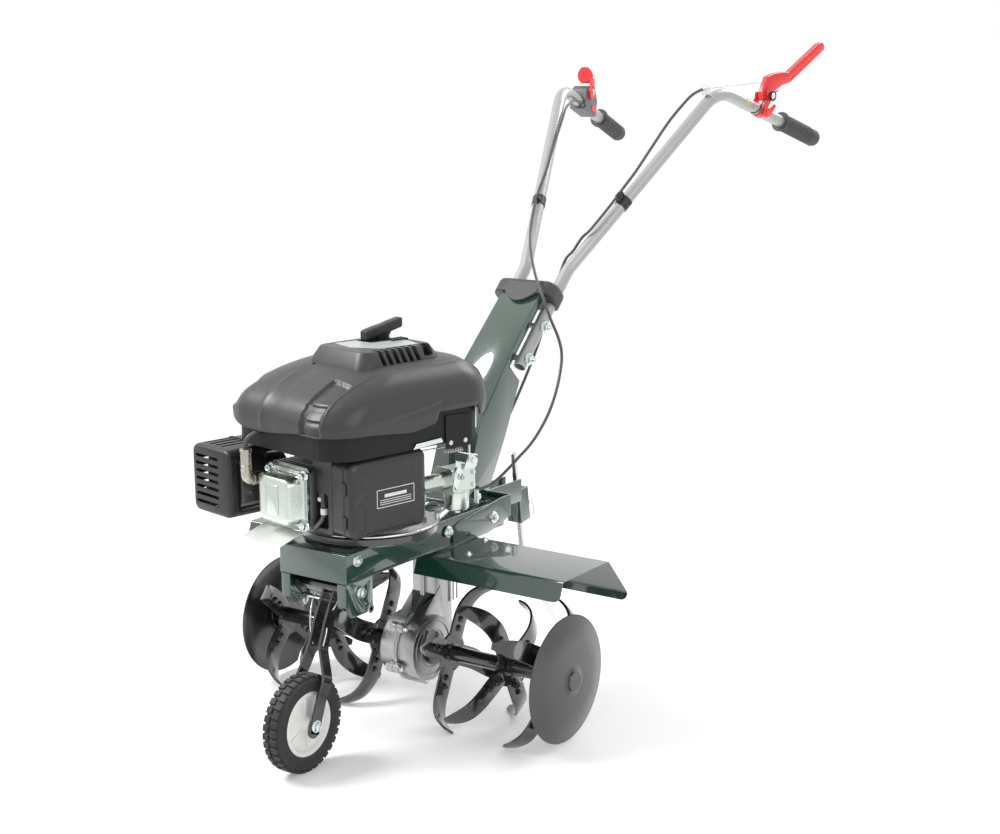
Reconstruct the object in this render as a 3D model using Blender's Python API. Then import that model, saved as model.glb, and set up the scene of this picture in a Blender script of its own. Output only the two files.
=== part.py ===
"""Mini cultivator with a front transport wheel, a vertical-shaft engine and two tine rotors.

Units are metres and +Z is up. +Y points to the handles, -Y to the transport wheel and +X to the
operator's left. All places are written from the point on the floor under the tine axle, and one
root empty then moves the machine so that its footprint is centred on the world origin.
"""
import math

import bmesh
import bpy
from mathutils import Euler, Matrix, Vector

# ---- driving dimensions ----------------------------------------------------------------------
GAP = 0.0003                # clearance between pieces that touch
FOOTPRINT_MID_Y = 0.31817   # middle of the machine's length, from the tine axle

AXLE_Z = 0.1081             # tine axle above the floor
TINE_REACH = 0.1250         # blade tip from the axle
STAR_X = (0.072, 0.185, 0.275)
BLADES_PER_STAR = 4
DISC_X = 0.3037
DISC_RADIUS = 0.1022

WHEEL_X = 0.0186
WHEEL_Y = -0.3064
WHEEL_RADIUS = 0.0760
WHEEL_WIDTH = 0.0334
RIM_RADIUS = 0.0500
FORK_PIVOT = Vector((0.0, -0.217, 0.2655))

SHEET = 0.0025              # pressed steel thickness
TRAY_HALF = 0.0660
TRAY_FRONT = -0.2526
TRAY_BACK = 0.160
TRAY_TOP = 0.3310
TRAY_BOTTOM = 0.2850

ENGINE_Y = -0.115           # crankshaft axis
ENGINE_TURN = math.radians(-11.5)
ENGINE_BASE_Z = TRAY_TOP + GAP
COVER_SKIRT_Z = 0.507
COVER_TOP_Z = 0.604
SHROUD_FLOOR = 0.4795
ENGINE_TOP = 0.4560          # top of the crankcase
CONSOLE_TOP_Z = 0.625

WORM_Y = 0.045              # worm shaft and driven pulley
PULLEY_Z = 0.3075

TUBE_RADIUS = 0.0110
TUBE_WALL = 0.0015
TUBE_X = 0.0432
COLUMN_HALF = 0.0400
CAP_HEIGHT = 0.0190
GRIP_RADIUS = 0.0160
GRIP_LENGTH = 0.117

GREEN = (0.012, 0.075, 0.042)
BLACK = (0.012, 0.012, 0.013)
CHARCOAL = (0.045, 0.046, 0.048)
ALLOY = (0.55, 0.55, 0.54)
STEEL = (0.62, 0.62, 0.63)
TUBE_GREY = (0.42, 0.42, 0.43)
RED = (0.62, 0.02, 0.02)


# ---- modelling helpers -----------------------------------------------------------------------
def clear_scene():
    for obj in list(bpy.data.objects):
        bpy.data.objects.remove(obj, do_unlink=True)


def material(name, colour, roughness=0.5, metallic=0.0):
    mat = bpy.data.materials.get(name)
    if mat is None:
        mat = bpy.data.materials.new(name)
        mat.use_nodes = True
        shader = mat.node_tree.nodes["Principled BSDF"]
        shader.inputs["Base Color"].default_value = (*colour, 1.0)
        shader.inputs["Roughness"].default_value = roughness
        shader.inputs["Metallic"].default_value = metallic
    return mat


def empty(name, parent=None, location=(0, 0, 0), rotation=(0, 0, 0)):
    obj = bpy.data.objects.new(name, None)
    bpy.context.scene.collection.objects.link(obj)
    obj.parent = parent
    obj.location = location
    obj.rotation_euler = rotation
    return obj


def loft(rings, closed=False):
    """Skin a list of rings with equal point counts; the two ends are capped unless closed."""
    bm = bmesh.new()
    rows = [[bm.verts.new(p) for p in ring] for ring in rings]
    count = len(rows[0])
    pairs = list(zip(rows, rows[1:]))
    if closed:
        pairs.append((rows[-1], rows[0]))
    for low, high in pairs:
        for i in range(count):
            j = (i + 1) % count
            bm.faces.new((low[i], low[j], high[j], high[i]))
    if not closed:
        bm.faces.new(list(reversed(rows[0])))
        bm.faces.new(rows[-1])
    bmesh.ops.recalc_face_normals(bm, faces=bm.faces)
    return bm


AXES = {
    "X": Matrix(((0, 0, 1), (1, 0, 0), (0, 1, 0))),
    "Y": Matrix(((0, 1, 0), (0, 0, 1), (1, 0, 0))),
    "Z": Matrix.Identity(3),
}


def prism(outline, low, high, axis="Z"):
    """Extrude an outline; its points are (y, z) for X, (z, x) for Y and (x, y) for Z."""
    turn = AXES[axis]
    return loft([[turn @ Vector((a, b, level)) for a, b in outline] for level in (low, high)])


def box(low, high):
    outline = ((low[0], low[1]), (high[0], low[1]), (high[0], high[1]), (low[0], high[1]))
    return prism(outline, low[2], high[2])


def circle(radius, sides, centre=(0.0, 0.0), start=0.0):
    return [(centre[0] + radius * math.cos(start + math.tau * i / sides),
             centre[1] + radius * math.sin(start + math.tau * i / sides)) for i in range(sides)]


def rod(radius, low, high, axis="Z", centre=(0.0, 0.0), sides=16):
    """Round bar; the centre is (y, z) for X, (z, x) for Y and (x, y) for Z."""
    return prism(circle(radius, sides, centre), low, high, axis)


def turned(profile, axis="Z", centre=(0.0, 0.0), sides=24):
    """Revolve a closed profile of (radius, height) points that stays off the axis."""
    turn = AXES[axis]
    rings = []
    for i in range(sides):
        angle = math.tau * i / sides
        rings.append([turn @ Vector((centre[0] + r * math.cos(angle),
                                     centre[1] + r * math.sin(angle), h)) for r, h in profile])
    return loft(rings, closed=True)


def rounded(half_x, half_y, radius, centre=(0.0, 0.0), per_corner=4):
    """Rectangle outline with round corners."""
    points = []
    corners = ((1, 1, 0), (-1, 1, 90), (-1, -1, 180), (1, -1, 270))
    for sx, sy, start in corners:
        cx = centre[0] + sx * (half_x - radius)
        cy = centre[1] + sy * (half_y - radius)
        for i in range(per_corner + 1):
            angle = math.radians(start + 90 * i / per_corner)
            points.append((cx + radius * math.cos(angle), cy + radius * math.sin(angle)))
    return points


def ribbon(stations):
    """Bar through stations of (centre, half width vector, half thickness vector)."""
    return loft([[c - w - t, c + w - t, c + w + t, c - w + t] for c, w, t in stations])


def filleted(corners, radii, steps=6):
    """Polyline whose inner corners are replaced by arcs."""
    path = [Vector(corners[0])]
    for before, corner, after, radius in zip(corners, corners[1:], corners[2:], radii):
        corner = Vector(corner)
        a = (Vector(before) - corner).normalized()
        b = (Vector(after) - corner).normalized()
        half = a.angle(b) / 2
        centre = corner + (a + b).normalized() * (radius / math.sin(half))
        start = corner + a * (radius / math.tan(half)) - centre
        end = corner + b * (radius / math.tan(half)) - centre
        total = start.angle(end)
        for i in range(steps + 1):
            t = i / steps
            blend = start * math.sin((1 - t) * total) + end * math.sin(t * total)
            path.append(centre + blend / math.sin(total))
    path.append(Vector(corners[-1]))
    return path


def smooth_route(points, spacing):
    """Evenly spaced points on a Catmull-Rom curve through the given points."""
    pts = [Vector(p) for p in points]
    pts = [2 * pts[0] - pts[1]] + pts + [2 * pts[-1] - pts[-2]]
    dense = []
    for p0, p1, p2, p3 in zip(pts, pts[1:], pts[2:], pts[3:]):
        for i in range(24):
            t = i / 24
            dense.append(0.5 * (2 * p1 + (p2 - p0) * t + (2 * p0 - 5 * p1 + 4 * p2 - p3) * t ** 2
                                + (3 * p1 - p0 - 3 * p2 + p3) * t ** 3))
    dense.append(pts[-2])
    length = sum((b - a).length for a, b in zip(dense, dense[1:]))
    count = max(2, round(length / spacing))
    step = length / count
    route = [dense[0]]
    run = 0.0
    for a, b in zip(dense, dense[1:]):
        part = (b - a).length
        while run + part >= step * len(route) and len(route) < count:
            route.append(a.lerp(b, (step * len(route) - run) / part))
        run += part
    return route + [dense[-1]]


def tube_rings(path, radius, sides):
    """Rings of a round section carried along a path without twisting."""
    rings = []
    tangent = (path[1] - path[0]).normalized()
    side = tangent.orthogonal().normalized()
    for i, point in enumerate(path):
        before = path[max(i - 1, 0)]
        after = path[min(i + 1, len(path) - 1)]
        new = (after - before).normalized()
        side = (tangent.rotation_difference(new) @ side).normalized()
        tangent = new
        up = tangent.cross(side)
        rings.append([point + radius * (side * math.cos(a) + up * math.sin(a))
                      for a in (math.tau * k / sides for k in range(sides))])
    return rings


def pipe(path, radius, wall, sides=10):
    """Hollow tube with both ends open."""
    outer = tube_rings(path, radius, sides)
    inner = tube_rings(path, radius - wall, sides)
    return loft(outer + inner[::-1], closed=True)


def bar(path, radius, sides=12):
    return loft(tube_rings(path, radius, sides))


def mesh_object(name, bm):
    mesh = bpy.data.meshes.new(name)
    bm.to_mesh(mesh)
    bm.free()
    obj = bpy.data.objects.new(name, mesh)
    bpy.context.scene.collection.objects.link(obj)
    return obj


def combine(base, tools, operation):
    """Apply Boolean modifiers to a bmesh, one tool after another."""
    for tool in tools:
        obj = mesh_object("base", base)
        cutter = mesh_object("tool", tool)
        modifier = obj.modifiers.new("Boolean", "BOOLEAN")
        modifier.operation = operation
        modifier.solver = "EXACT"
        modifier.object = cutter
        bpy.context.view_layer.update()
        result = obj.evaluated_get(bpy.context.evaluated_depsgraph_get())
        base = bmesh.new()
        base.from_mesh(result.data)
        for used in (obj, cutter):
            data = used.data
            bpy.data.objects.remove(used, do_unlink=True)
            bpy.data.meshes.remove(data)
    bmesh.ops.remove_doubles(base, verts=base.verts, dist=1e-6)
    bmesh.ops.dissolve_degenerate(base, dist=1e-6, edges=base.edges)
    return base


def join(base, *tools):
    return combine(base, tools, "UNION")


def cut(base, *tools):
    return combine(base, tools, "DIFFERENCE")


def moved(bm, matrix):
    bmesh.ops.transform(bm, matrix=matrix, verts=bm.verts)
    return bm


def mirrored(bm):
    """Copy across the machine's middle plane."""
    bmesh.ops.scale(bm, vec=(-1, 1, 1), verts=bm.verts)
    bmesh.ops.reverse_faces(bm, faces=bm.faces)
    return bm


def piece(name, bm, mat, parent, pivot=(0, 0, 0), angle=40):
    """Finish a node: its origin goes to the pivot and its round faces are shaded smooth."""
    pivot = Vector(pivot)
    bmesh.ops.translate(bm, vec=-pivot, verts=bm.verts)
    obj = mesh_object(name, bm)
    obj.data.materials.append(mat)
    obj.data.shade_smooth()
    obj.data.set_sharp_from_angle(angle=math.radians(angle))
    obj.parent = parent
    obj.location = pivot
    return obj


# ---- frame -----------------------------------------------------------------------------------
PIN_HOLES = ((-0.226, 0.318), (-0.001, 0.311), (0.126, 0.307))
BRACKET_X = 0.0640
LOCK_PIN = (-0.199, 0.236)


def chassis_tray(parent, mat):
    """Upturned channel with a closed front, and the two wheel bracket plates welded under it."""
    inner = TRAY_HALF - SHEET
    tray = cut(box((-TRAY_HALF, TRAY_FRONT, TRAY_BOTTOM), (TRAY_HALF, TRAY_BACK, TRAY_TOP)),
               box((-inner, TRAY_FRONT + SHEET, 0.2), (inner, TRAY_BACK + 0.1, TRAY_TOP - SHEET)),
               rod(0.030, 0.32, 0.34, centre=(0.0, ENGINE_Y), sides=24),
               rod(0.020, 0.32, 0.34, centre=(0.0, WORM_Y), sides=20))
    plates = []
    for side in (-1, 1):
        outline = ((-0.250, 0.2900), (-0.250, 0.248), (-0.240, 0.230), (-0.188, 0.230),
                   (-0.188, 0.2900))
        edges = sorted((side * BRACKET_X, side * (BRACKET_X - 0.003)))
        plates.append(prism(outline, *edges, axis="X"))
        front = sorted((side * BRACKET_X, side * 0.047))
        plates.append(box((front[0], TRAY_FRONT + 0.0001, 0.248), (front[1], -0.2495, 0.2960)))
    tray = join(tray, *plates)
    holes = [rod(0.0045, -0.08, 0.08, "X", (FORK_PIVOT.y, FORK_PIVOT.z)),
             rod(0.0040, -0.08, 0.08, "X", LOCK_PIN, sides=12)]
    piece("chassis_tray", cut(tray, *holes), mat, parent)


def column_outline():
    """Side view of the column, from its front foot up and round to its back foot."""
    return [(0.081, TRAY_TOP + GAP), (0.151, 0.513), (0.311, 0.6586), (0.338, 0.627),
            (0.251, 0.526), (0.200, 0.422), (0.146, TRAY_TOP + GAP)]


def handle_column(parent, mat):
    """Folded column, open at the back, with a notch in each side where the tubes lie."""
    inner = COLUMN_HALF - SHEET
    column = prism(column_outline(), -COLUMN_HALF, COLUMN_HALF, "X")
    front = ((0.081 + SHEET * 1.08, 0.30), (0.151 + SHEET * 1.2, 0.5120), (0.330, 0.6738),
             (0.400, 0.66), (0.300, 0.30))
    column = cut(column, prism(front, -inner, inner, "X"))
    notch = ((0.2170, 0.5450), (0.3490, 0.6770), (0.390, 0.640), (0.2500, 0.5120))
    column = cut(column, prism(notch, -0.1, 0.1, "X"))
    foot = box((-COLUMN_HALF, 0.0815, TRAY_TOP + GAP), (COLUMN_HALF, 0.1455, TRAY_TOP + GAP + 0.003))
    piece("handle_column", join(column, foot), mat, parent)


def tube_path(side):
    low = (0.2400, 0.5414)
    corners = [(side * TUBE_X, low[0], low[1]), (side * 0.0440, 0.3890, 0.6904),
               (side * 0.1687, 0.6980, 0.9962), (side * 0.2200, 0.9930, 0.8982)]
    return filleted(corners, (0.08, 0.07), steps=4)


TUBE_BOLTS = ((0.2525, 0.5538), (0.3010, 0.6023))
HANDLE_CORNER = Vector((0.1687, 0.6980, 0.9962))
HANDLE_END = Vector((0.2200, 0.9930, 0.8982))
HANDLE_RUN = (HANDLE_END - HANDLE_CORNER).length
HANDLE_PITCH = math.asin((HANDLE_END.z - HANDLE_CORNER.z) / HANDLE_RUN)
HANDLE_YAW = math.atan2(HANDLE_END.x - HANDLE_CORNER.x, HANDLE_END.y - HANDLE_CORNER.y)


def handle_tubes(parent, mat, steel, rubber):
    bolts = [rod(0.0038, -0.07, 0.07, "X", place, sides=8) for place in TUBE_BOLTS]
    for side, word in ((1, "left"), (-1, "right")):
        tube = cut(pipe(tube_path(side), TUBE_RADIUS, TUBE_WALL), *[b.copy() for b in bolts])
        piece(f"handle_tube_{word}", tube, mat, parent)
    for place, word in zip(TUBE_BOLTS, ("lower", "upper")):
        bolt = join(rod(0.0033, -0.0660, 0.0680, "X", place, sides=8),
                    rod(0.0080, 0.0546, 0.0562, "X", place, sides=12),
                    rod(0.0080, -0.0562, -0.0546, "X", place, sides=12),
                    rod(0.0058, 0.0560, 0.0610, "X", place, sides=6),
                    rod(0.0062, -0.0625, -0.0560, "X", place, sides=6),
                    rod(0.0055, -0.0317, 0.0317, "X", place, sides=8))
        piece(f"tube_bolt_{word}", bolt, steel, parent)
    for side, word in ((1, "left"), (-1, "right")):
        frame = empty(f"grip_frame_{word}", parent, (side * HANDLE_CORNER.x, *HANDLE_CORNER.yz),
                      (HANDLE_PITCH, 0, -side * HANDLE_YAW))
        start = HANDLE_RUN - GRIP_LENGTH + 0.004
        end = start + GRIP_LENGTH
        bore = TUBE_RADIUS + GAP
        profile = ((bore, start), (0.0185, start), (0.0185, start + 0.004),
                   (GRIP_RADIUS, start + 0.006), (GRIP_RADIUS, end - 0.004),
                   (0.0130, end), (0.0030, end), (0.0030, HANDLE_RUN + GAP),
                   (bore, HANDLE_RUN + GAP))
        piece(f"grip_{word}", turned(profile, "Y", sides=16), rubber, frame)


def column_cap(parent, mat):
    """Plastic clamp around both tubes, square to them, with an apron over the column."""
    frame = empty("cap_frame", parent, (0.0, 0.3537, 0.6551), (math.radians(-45), 0, 0))
    cap = prism(rounded(0.0615, 0.0265, 0.0180, (0.0, -0.0105)), -CAP_HEIGHT, 0.0)
    apron = [(0.0300, -CAP_HEIGHT / 2), (-0.0300, -CAP_HEIGHT / 2)]
    for i in range(9):
        t = i / 8
        apron.append((-0.0300 + 0.0600 * t, -CAP_HEIGHT - 0.0160 * math.sin(math.pi * t)))
    plate = loft([[Vector((x, y, z)) for x, z in apron] for y in (-0.0369, -0.0340)])
    holes = [rod(TUBE_RADIUS + GAP, -0.05, 0.05, centre=(side * 0.0438, 0.0), sides=16)
             for side in (-1, 1)]
    piece("column_cap", cut(join(cap, plate), *holes), mat, frame)


def hitch_bracket(parent, mat):
    """Two side plates outside the tray, the channel behind them and the stake socket."""
    outer = TRAY_HALF + 0.0030
    inner = TRAY_HALF + GAP
    side = ((0.013, 0.2836), (0.110, 0.2836), (0.150, 0.292), (0.176, 0.300), (0.176, 0.336),
            (0.150, 0.336), (0.110, 0.331), (0.030, 0.321), (0.013, 0.315))
    plates = [prism(side, *sorted((s * outer, s * inner)), axis="X") for s in (-1, 1)]
    back = box((-outer, 0.1735, 0.300), (outer, 0.1765, 0.336))
    channel = cut(box((-0.018, 0.1750, 0.294), (0.018, 0.2830, 0.334)),
                  box((-0.0155, 0.1700, 0.2965), (0.0155, 0.2900, 0.350)))
    socket = cut(box((-0.0145, -0.0145, -0.030), (0.0145, 0.0145, 0.030)),
                 rod(0.0065, -0.05, 0.05, sides=16))
    moved(socket, Matrix.Translation(STAKE_TOP) @ STAKE_TILT.to_matrix().to_4x4())
    bracket = join(plates[0], back, plates[1], channel, socket)
    pin = rod(0.0026, STAKE_TOP.y, 0.40, "Y", (STAKE_TOP.z, 0.0), sides=10)
    holes = [rod(0.0040, -0.1, 0.1, "X", place, sides=12) for place in PIN_HOLES[1:]]
    bore = moved(rod(0.0065, -0.06, 0.06, sides=16),
                 Matrix.Translation(STAKE_TOP) @ STAKE_TILT.to_matrix().to_4x4())
    piece("hitch_bracket", cut(bracket, pin, bore, *holes), mat, parent)


STAKE_TOP = Vector((0.0, 0.2975, 0.2830))       # middle of the socket
STAKE_TILT = Euler((math.radians(8.0), 0, 0))


def drag_stake(parent, mat, steel):
    """Bent rod through the socket, down to a foot on the floor, and the pin that bears on it."""
    up = STAKE_TILT.to_matrix() @ Vector((0, 0, 1))
    top = STAKE_TOP + up * 0.0950
    knee = STAKE_TOP - up * 0.1050
    path = filleted([top, knee, Vector((0.0, 0.4300, 0.0170)), Vector((0.0, 0.4600, 0.0061))],
                    (0.040, 0.020), steps=4)
    piece("drag_stake", bar(path, 0.0061, 12), mat, parent, pivot=STAKE_TOP)
    pin = rod(0.0023, STAKE_TOP.y + 0.0067, 0.3420, "Y", (STAKE_TOP.z, 0.0), sides=10)
    head = rod(0.0048, 0.3200, 0.3225, "Y", (STAKE_TOP.z, 0.0), sides=12)
    piece("stake_pin", join(pin, head), steel, parent)


def fenders(parent, mat):
    """Folded sheet over each rotor: flange, flat top, sloping back and a lip."""
    outline = ((-0.0580, 0.2510), (-0.0470, 0.2830), (0.0850, 0.2830), (0.1440, 0.2170),
               (0.1440, 0.2020))
    thick = 0.0016
    inner = ((0.1440 - thick, 0.2020), (0.1440 - thick, 0.2162), (0.0842, 0.2830 - thick),
             (-0.0458, 0.2830 - thick), (-0.0563, 0.2505))
    for side, word in ((1, "left"), (-1, "right")):
        sheet = prism(outline + inner, *sorted((side * 0.0400, side * 0.3180)), axis="X")
        piece(f"fender_{word}", sheet, mat, parent)


# ---- transport wheel -------------------------------------------------------------------------
def wheel_fork(parent, mat, steel):
    """Two bent legs on a cross tube, with the pivot bolt through the bracket plates."""
    tube = rod(0.0110, -0.0600, 0.0600, "X", (FORK_PIVOT.y, FORK_PIVOT.z))
    bolt = rod(0.0040, -0.0720, 0.0700, "X", (FORK_PIVOT.y, FORK_PIVOT.z), sides=12)
    head = rod(0.0075, 0.0645, 0.0700, "X", (FORK_PIVOT.y, FORK_PIVOT.z), sides=6)
    nut = rod(0.0075, -0.0715, -0.0645, "X", (FORK_PIVOT.y, FORK_PIVOT.z), sides=6)
    legs = []
    for side in (-1, 1):
        wide = WHEEL_X + side * 0.0255
        close = WHEEL_X * 0.5 + side * 0.0100
        route = ((wide, -0.3110, 0.0640), (wide, -0.2900, 0.1180), (wide, -0.2760, 0.1400),
                 (close, -0.2560, 0.1800), (close, -0.2400, 0.2200), (close, -0.2170, 0.2620))
        points = [Vector(p) for p in route]
        stations = []
        for i, point in enumerate(points):
            run = (points[min(i + 1, 5)] - points[max(i - 1, 0)]).normalized()
            width = run.cross(Vector((1, 0, 0))).normalized() * 0.0110
            stations.append((point, width, Vector((0.0022, 0, 0))))
        legs.append(ribbon(stations))
    fork = join(tube, bolt, head, nut, *legs)
    fork = cut(fork, rod(0.0050, -0.03, 0.06, "X", (WHEEL_Y, WHEEL_RADIUS), sides=12))
    piece("wheel_fork", fork, mat, parent, pivot=FORK_PIVOT)
    place = (WHEEL_Y, WHEEL_RADIUS)
    low = WHEEL_X - 0.0360
    high = WHEEL_X + 0.0380
    axle = join(rod(0.0046, low, high, "X", place, sides=12),
                rod(0.0080, WHEEL_X + 0.0281, WHEEL_X + 0.0350, "X", place, sides=6),
                rod(0.0080, low, WHEEL_X - 0.0281, "X", place, sides=6))
    piece("wheel_axle_bolt", axle, steel, parent)
    pin = join(rod(0.0036, -0.0700, 0.0690, "X", LOCK_PIN, sides=12),
               rod(0.0070, 0.0645, 0.0690, "X", LOCK_PIN, sides=12))
    piece("lock_pin", pin, steel, parent)


def transport_wheel(parent, white, rubber):
    """Moulded wheel centre with its hub, and the solid tyre on it."""
    place = (WHEEL_Y, WHEEL_RADIUS)
    half = WHEEL_WIDTH / 2
    rim = ((0.0050, -0.0200), (0.0110, -0.0200), (0.0130, -0.0080), (0.0400, -0.0060),
           (0.0440, -0.0130), (RIM_RADIUS, -0.0130), (RIM_RADIUS, 0.0130), (0.0440, 0.0130),
           (0.0400, 0.0060), (0.0130, 0.0080), (0.0110, 0.0200), (0.0050, 0.0200))
    rim = turned([(r, WHEEL_X + x) for r, x in rim], "X", place, 24)
    piece("wheel_rim", rim, white, parent, pivot=(WHEEL_X, *place))
    bead = RIM_RADIUS + GAP
    tyre = ((bead, -half + 0.003), (0.0560, -half), (0.0690, -half), (WHEEL_RADIUS, -half + 0.006),
            (WHEEL_RADIUS, half - 0.006), (0.0690, half), (0.0560, half), (bead, half - 0.003))
    tyre = turned([(r, WHEEL_X + x) for r, x in tyre], "X", place, 36)
    piece("tyre", tyre, rubber, parent, pivot=(WHEEL_X, *place))


# ---- tine rotors and gearbox -----------------------------------------------------------------
BLADE_SWEEP = math.radians(9.0)
BLADE_BEND = 0.050
LOWEST_TIP = math.radians(34.05)     # lowest tip from straight down


def blade(star_x, angle, lean):
    """One curved tine; it bends sideways along X by lean and sweeps back with it."""
    stations = []
    reach = TINE_REACH
    table = ((0.022, 0.0, 0.0, 0.0175), (0.058, 0.0, 0.0, 0.0175), (0.082, 0.06, 0.25, 0.0165),
             (0.104, 0.26, 0.55, 0.0150), (0.118, 0.62, 0.80, 0.0115), (reach, 1.0, 1.0, 0.0045))
    centres = []
    for radius, bend, sweep, _ in table:
        turn = angle + lean * sweep * BLADE_SWEEP
        centres.append(Vector((star_x + lean * bend * BLADE_BEND, radius * math.sin(turn),
                               radius * math.cos(turn))))
    for i, (centre, (_, _, _, half)) in enumerate(zip(centres, table)):
        run = (centres[min(i + 1, 5)] - centres[max(i - 1, 0)]).normalized()
        around = Vector((0, centre.z, -centre.y)).normalized()
        width = (around - run * around.dot(run)).normalized()
        stations.append((centre, width * half, run.cross(width) * 0.0020))
    return moved(ribbon(stations), Matrix.Translation((0, 0, AXLE_Z)))


def star(star_x, lean):
    """Hub plate with its blades; the phase sets the lowest tip just on the floor."""
    tip = -LOWEST_TIP if star_x == STAR_X[1] else LOWEST_TIP
    phase = math.pi + tip - lean * BLADE_SWEEP
    hub = rod(0.0330, star_x - 0.0019, star_x + 0.0019, "X", (0.0, AXLE_Z), sides=20)
    blades = [blade(star_x, phase + i * math.tau / BLADES_PER_STAR, lean)
              for i in range(BLADES_PER_STAR)]
    return [hub] + blades


def rotors(parent, black, dark):
    centre = (0.0, AXLE_Z)
    for side, word in ((1, "left"), (-1, "right")):
        sleeve = turned(((0.0083, 0.0420), (0.0125, 0.0420), (0.0125, 0.1995), (0.0083, 0.1995)),
                        "X", centre, 16)
        inner = join(sleeve, *star(STAR_X[0], 1), *star(STAR_X[1], -1))
        inner = cut(inner, rod(0.0081, 0.03, 0.21, "X", centre, 16))
        outer = join(rod(0.0077, 0.1400, 0.2990, "X", centre, 16),
                     rod(0.0125, 0.2000, 0.2990, "X", centre, 16), *star(STAR_X[2], -1),
                     rod(0.0260, 0.2950, 0.2990, "X", centre, 20))
        disc = ((0.0035, 0.0020), (0.0300, 0.0020), (0.0560, 0.0010), (0.0800, -0.0030),
                (DISC_RADIUS, -0.0095), (DISC_RADIUS, -0.0070), (0.0800, -0.0004),
                (0.0560, 0.0036), (0.0180, 0.0050), (0.0160, 0.0090), (0.0035, 0.0100))
        face = DISC_X - 0.0019
        disc = turned([(r, face + x) for r, x in disc], "X", centre, 30)
        for name, bm, mat in ((f"inner_rotor_{word}", inner, black),
                              (f"outer_rotor_{word}", outer, black),
                              (f"side_disc_{word}", disc, dark)):
            if side < 0:
                mirrored(bm)
            piece(name, bm, mat, parent, pivot=(0, 0, AXLE_Z))


def gearbox(parent, alloy, steel, brass):
    """Two cast halves around the worm, the worm wheel and the tine axle."""
    def shell(grow):
        ring = rod(0.0500 + grow, -0.0300 - grow, 0.0300 + grow, "X", (0.0, AXLE_Z), 20)
        leg = ((WORM_Y - 0.0190 - grow, 0.0900), (WORM_Y - 0.0100 - grow, 0.0780 - grow),
               (WORM_Y + 0.0100 + grow, 0.0780 - grow), (WORM_Y + 0.0190 + grow, 0.1000),
               (WORM_Y + 0.0190 + grow, 0.2700 + grow), (WORM_Y - 0.0190 - grow, 0.2700 + grow))
        web = ((-0.0430 - grow, 0.1330), (0.0, AXLE_Z - 0.03), (WORM_Y, 0.150),
               (WORM_Y - 0.010, 0.2000 + grow))
        return join(ring, prism(leg, -0.0190 - grow, 0.0190 + grow, "X"),
                    prism(web, -0.0200 - grow, 0.0200 + grow, "X"))

    wall = 0.0040
    flange = join(rod(0.0600, -0.0040, 0.0040, "X", (0.0, AXLE_Z), 20),
                  prism(((WORM_Y - 0.028, 0.15), (WORM_Y + 0.030, 0.15), (WORM_Y + 0.030, 0.270),
                         (WORM_Y - 0.028, 0.270)), -0.0040, 0.0040, "X"),
                  *[rod(0.0090, -0.0130, 0.0130, "X", p, 8)
                    for p in ((-0.046, 0.150), (-0.058, 0.085), (0.010, 0.047), (0.070, 0.145))],
                  rod(0.0260, -0.0380, 0.0380, "X", (0.0, AXLE_Z), 16))
    body = cut(join(shell(wall), flange), shell(0.0),
               rod(0.0150, -0.05, 0.05, "X", (0.0, AXLE_Z), 16),
               rod(0.0090, 0.26, 0.29, "Z", (0.0, WORM_Y), 16))
    left = cut(body.copy(), box((-0.1, -0.2, 0.0), (GAP / 2, 0.2, 0.4)))
    right = cut(body, box((-GAP / 2, -0.2, 0.0), (0.1, 0.2, 0.4)))
    piece("gearbox_left", left, alloy, parent, angle=30)
    piece("gearbox_right", right, alloy, parent, angle=30)

    teeth = 20
    outline = []
    for i in range(teeth * 2):
        radius = 0.0372 if i % 2 else 0.0340
        angle = math.tau * i / (teeth * 2)
        outline.append((radius * math.cos(angle), AXLE_Z + radius * math.sin(angle)))
    wheel = cut(prism(outline, -0.0070, 0.0070, "X"), rod(0.0083, -0.1, 0.1, "X", (0.0, AXLE_Z)))
    piece("worm_wheel", wheel, brass, parent, pivot=(0, 0, AXLE_Z))
    axle = join(rod(0.0078, -0.1350, 0.1350, "X", (0.0, AXLE_Z), 16),
                rod(0.0140, 0.0110, 0.0395, "X", (0.0, AXLE_Z), 20),
                rod(0.0140, -0.0395, -0.0110, "X", (0.0, AXLE_Z), 20))
    piece("tine_axle", axle, steel, parent, pivot=(0, 0, AXLE_Z))

    thread = []
    for i in range(9):
        thread.append((0.0070 if i % 2 else 0.0044, AXLE_Z - 0.024 + 0.006 * i))
    profile = [(0.0020, 0.0790)] + [(0.0044, 0.0790)] + thread + [
        (0.0060, 0.1700), (0.0080, 0.1720), (0.0080, 0.2955), (0.0020, 0.2955)]
    piece("worm_shaft", turned(profile, "Z", (0.0, WORM_Y), 12), steel, parent,
          pivot=(0, WORM_Y, 0.18))


# ---- belt drive ------------------------------------------------------------------------------
ENGINE_PULLEY = 0.0260
DRIVEN_PULLEY = 0.0460
BELT_HALF = 0.0040
TENSIONER_PIVOT = (-0.0400, -0.0170)
IDLER_PLACE = (-0.0530, -0.0520)
IDLER_RADIUS = 0.0080


def grooved(radius, bore, half=0.0070):
    """Vee pulley profile around PULLEY_Z."""
    z = PULLEY_Z
    return ((bore, z - half), (radius, z - half), (radius, z - half + 0.0012),
            (radius - 0.0050, z - 0.0028), (radius - 0.0050, z + 0.0028),
            (radius, z + half - 0.0012), (radius, z + half), (bore, z + half))


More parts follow.
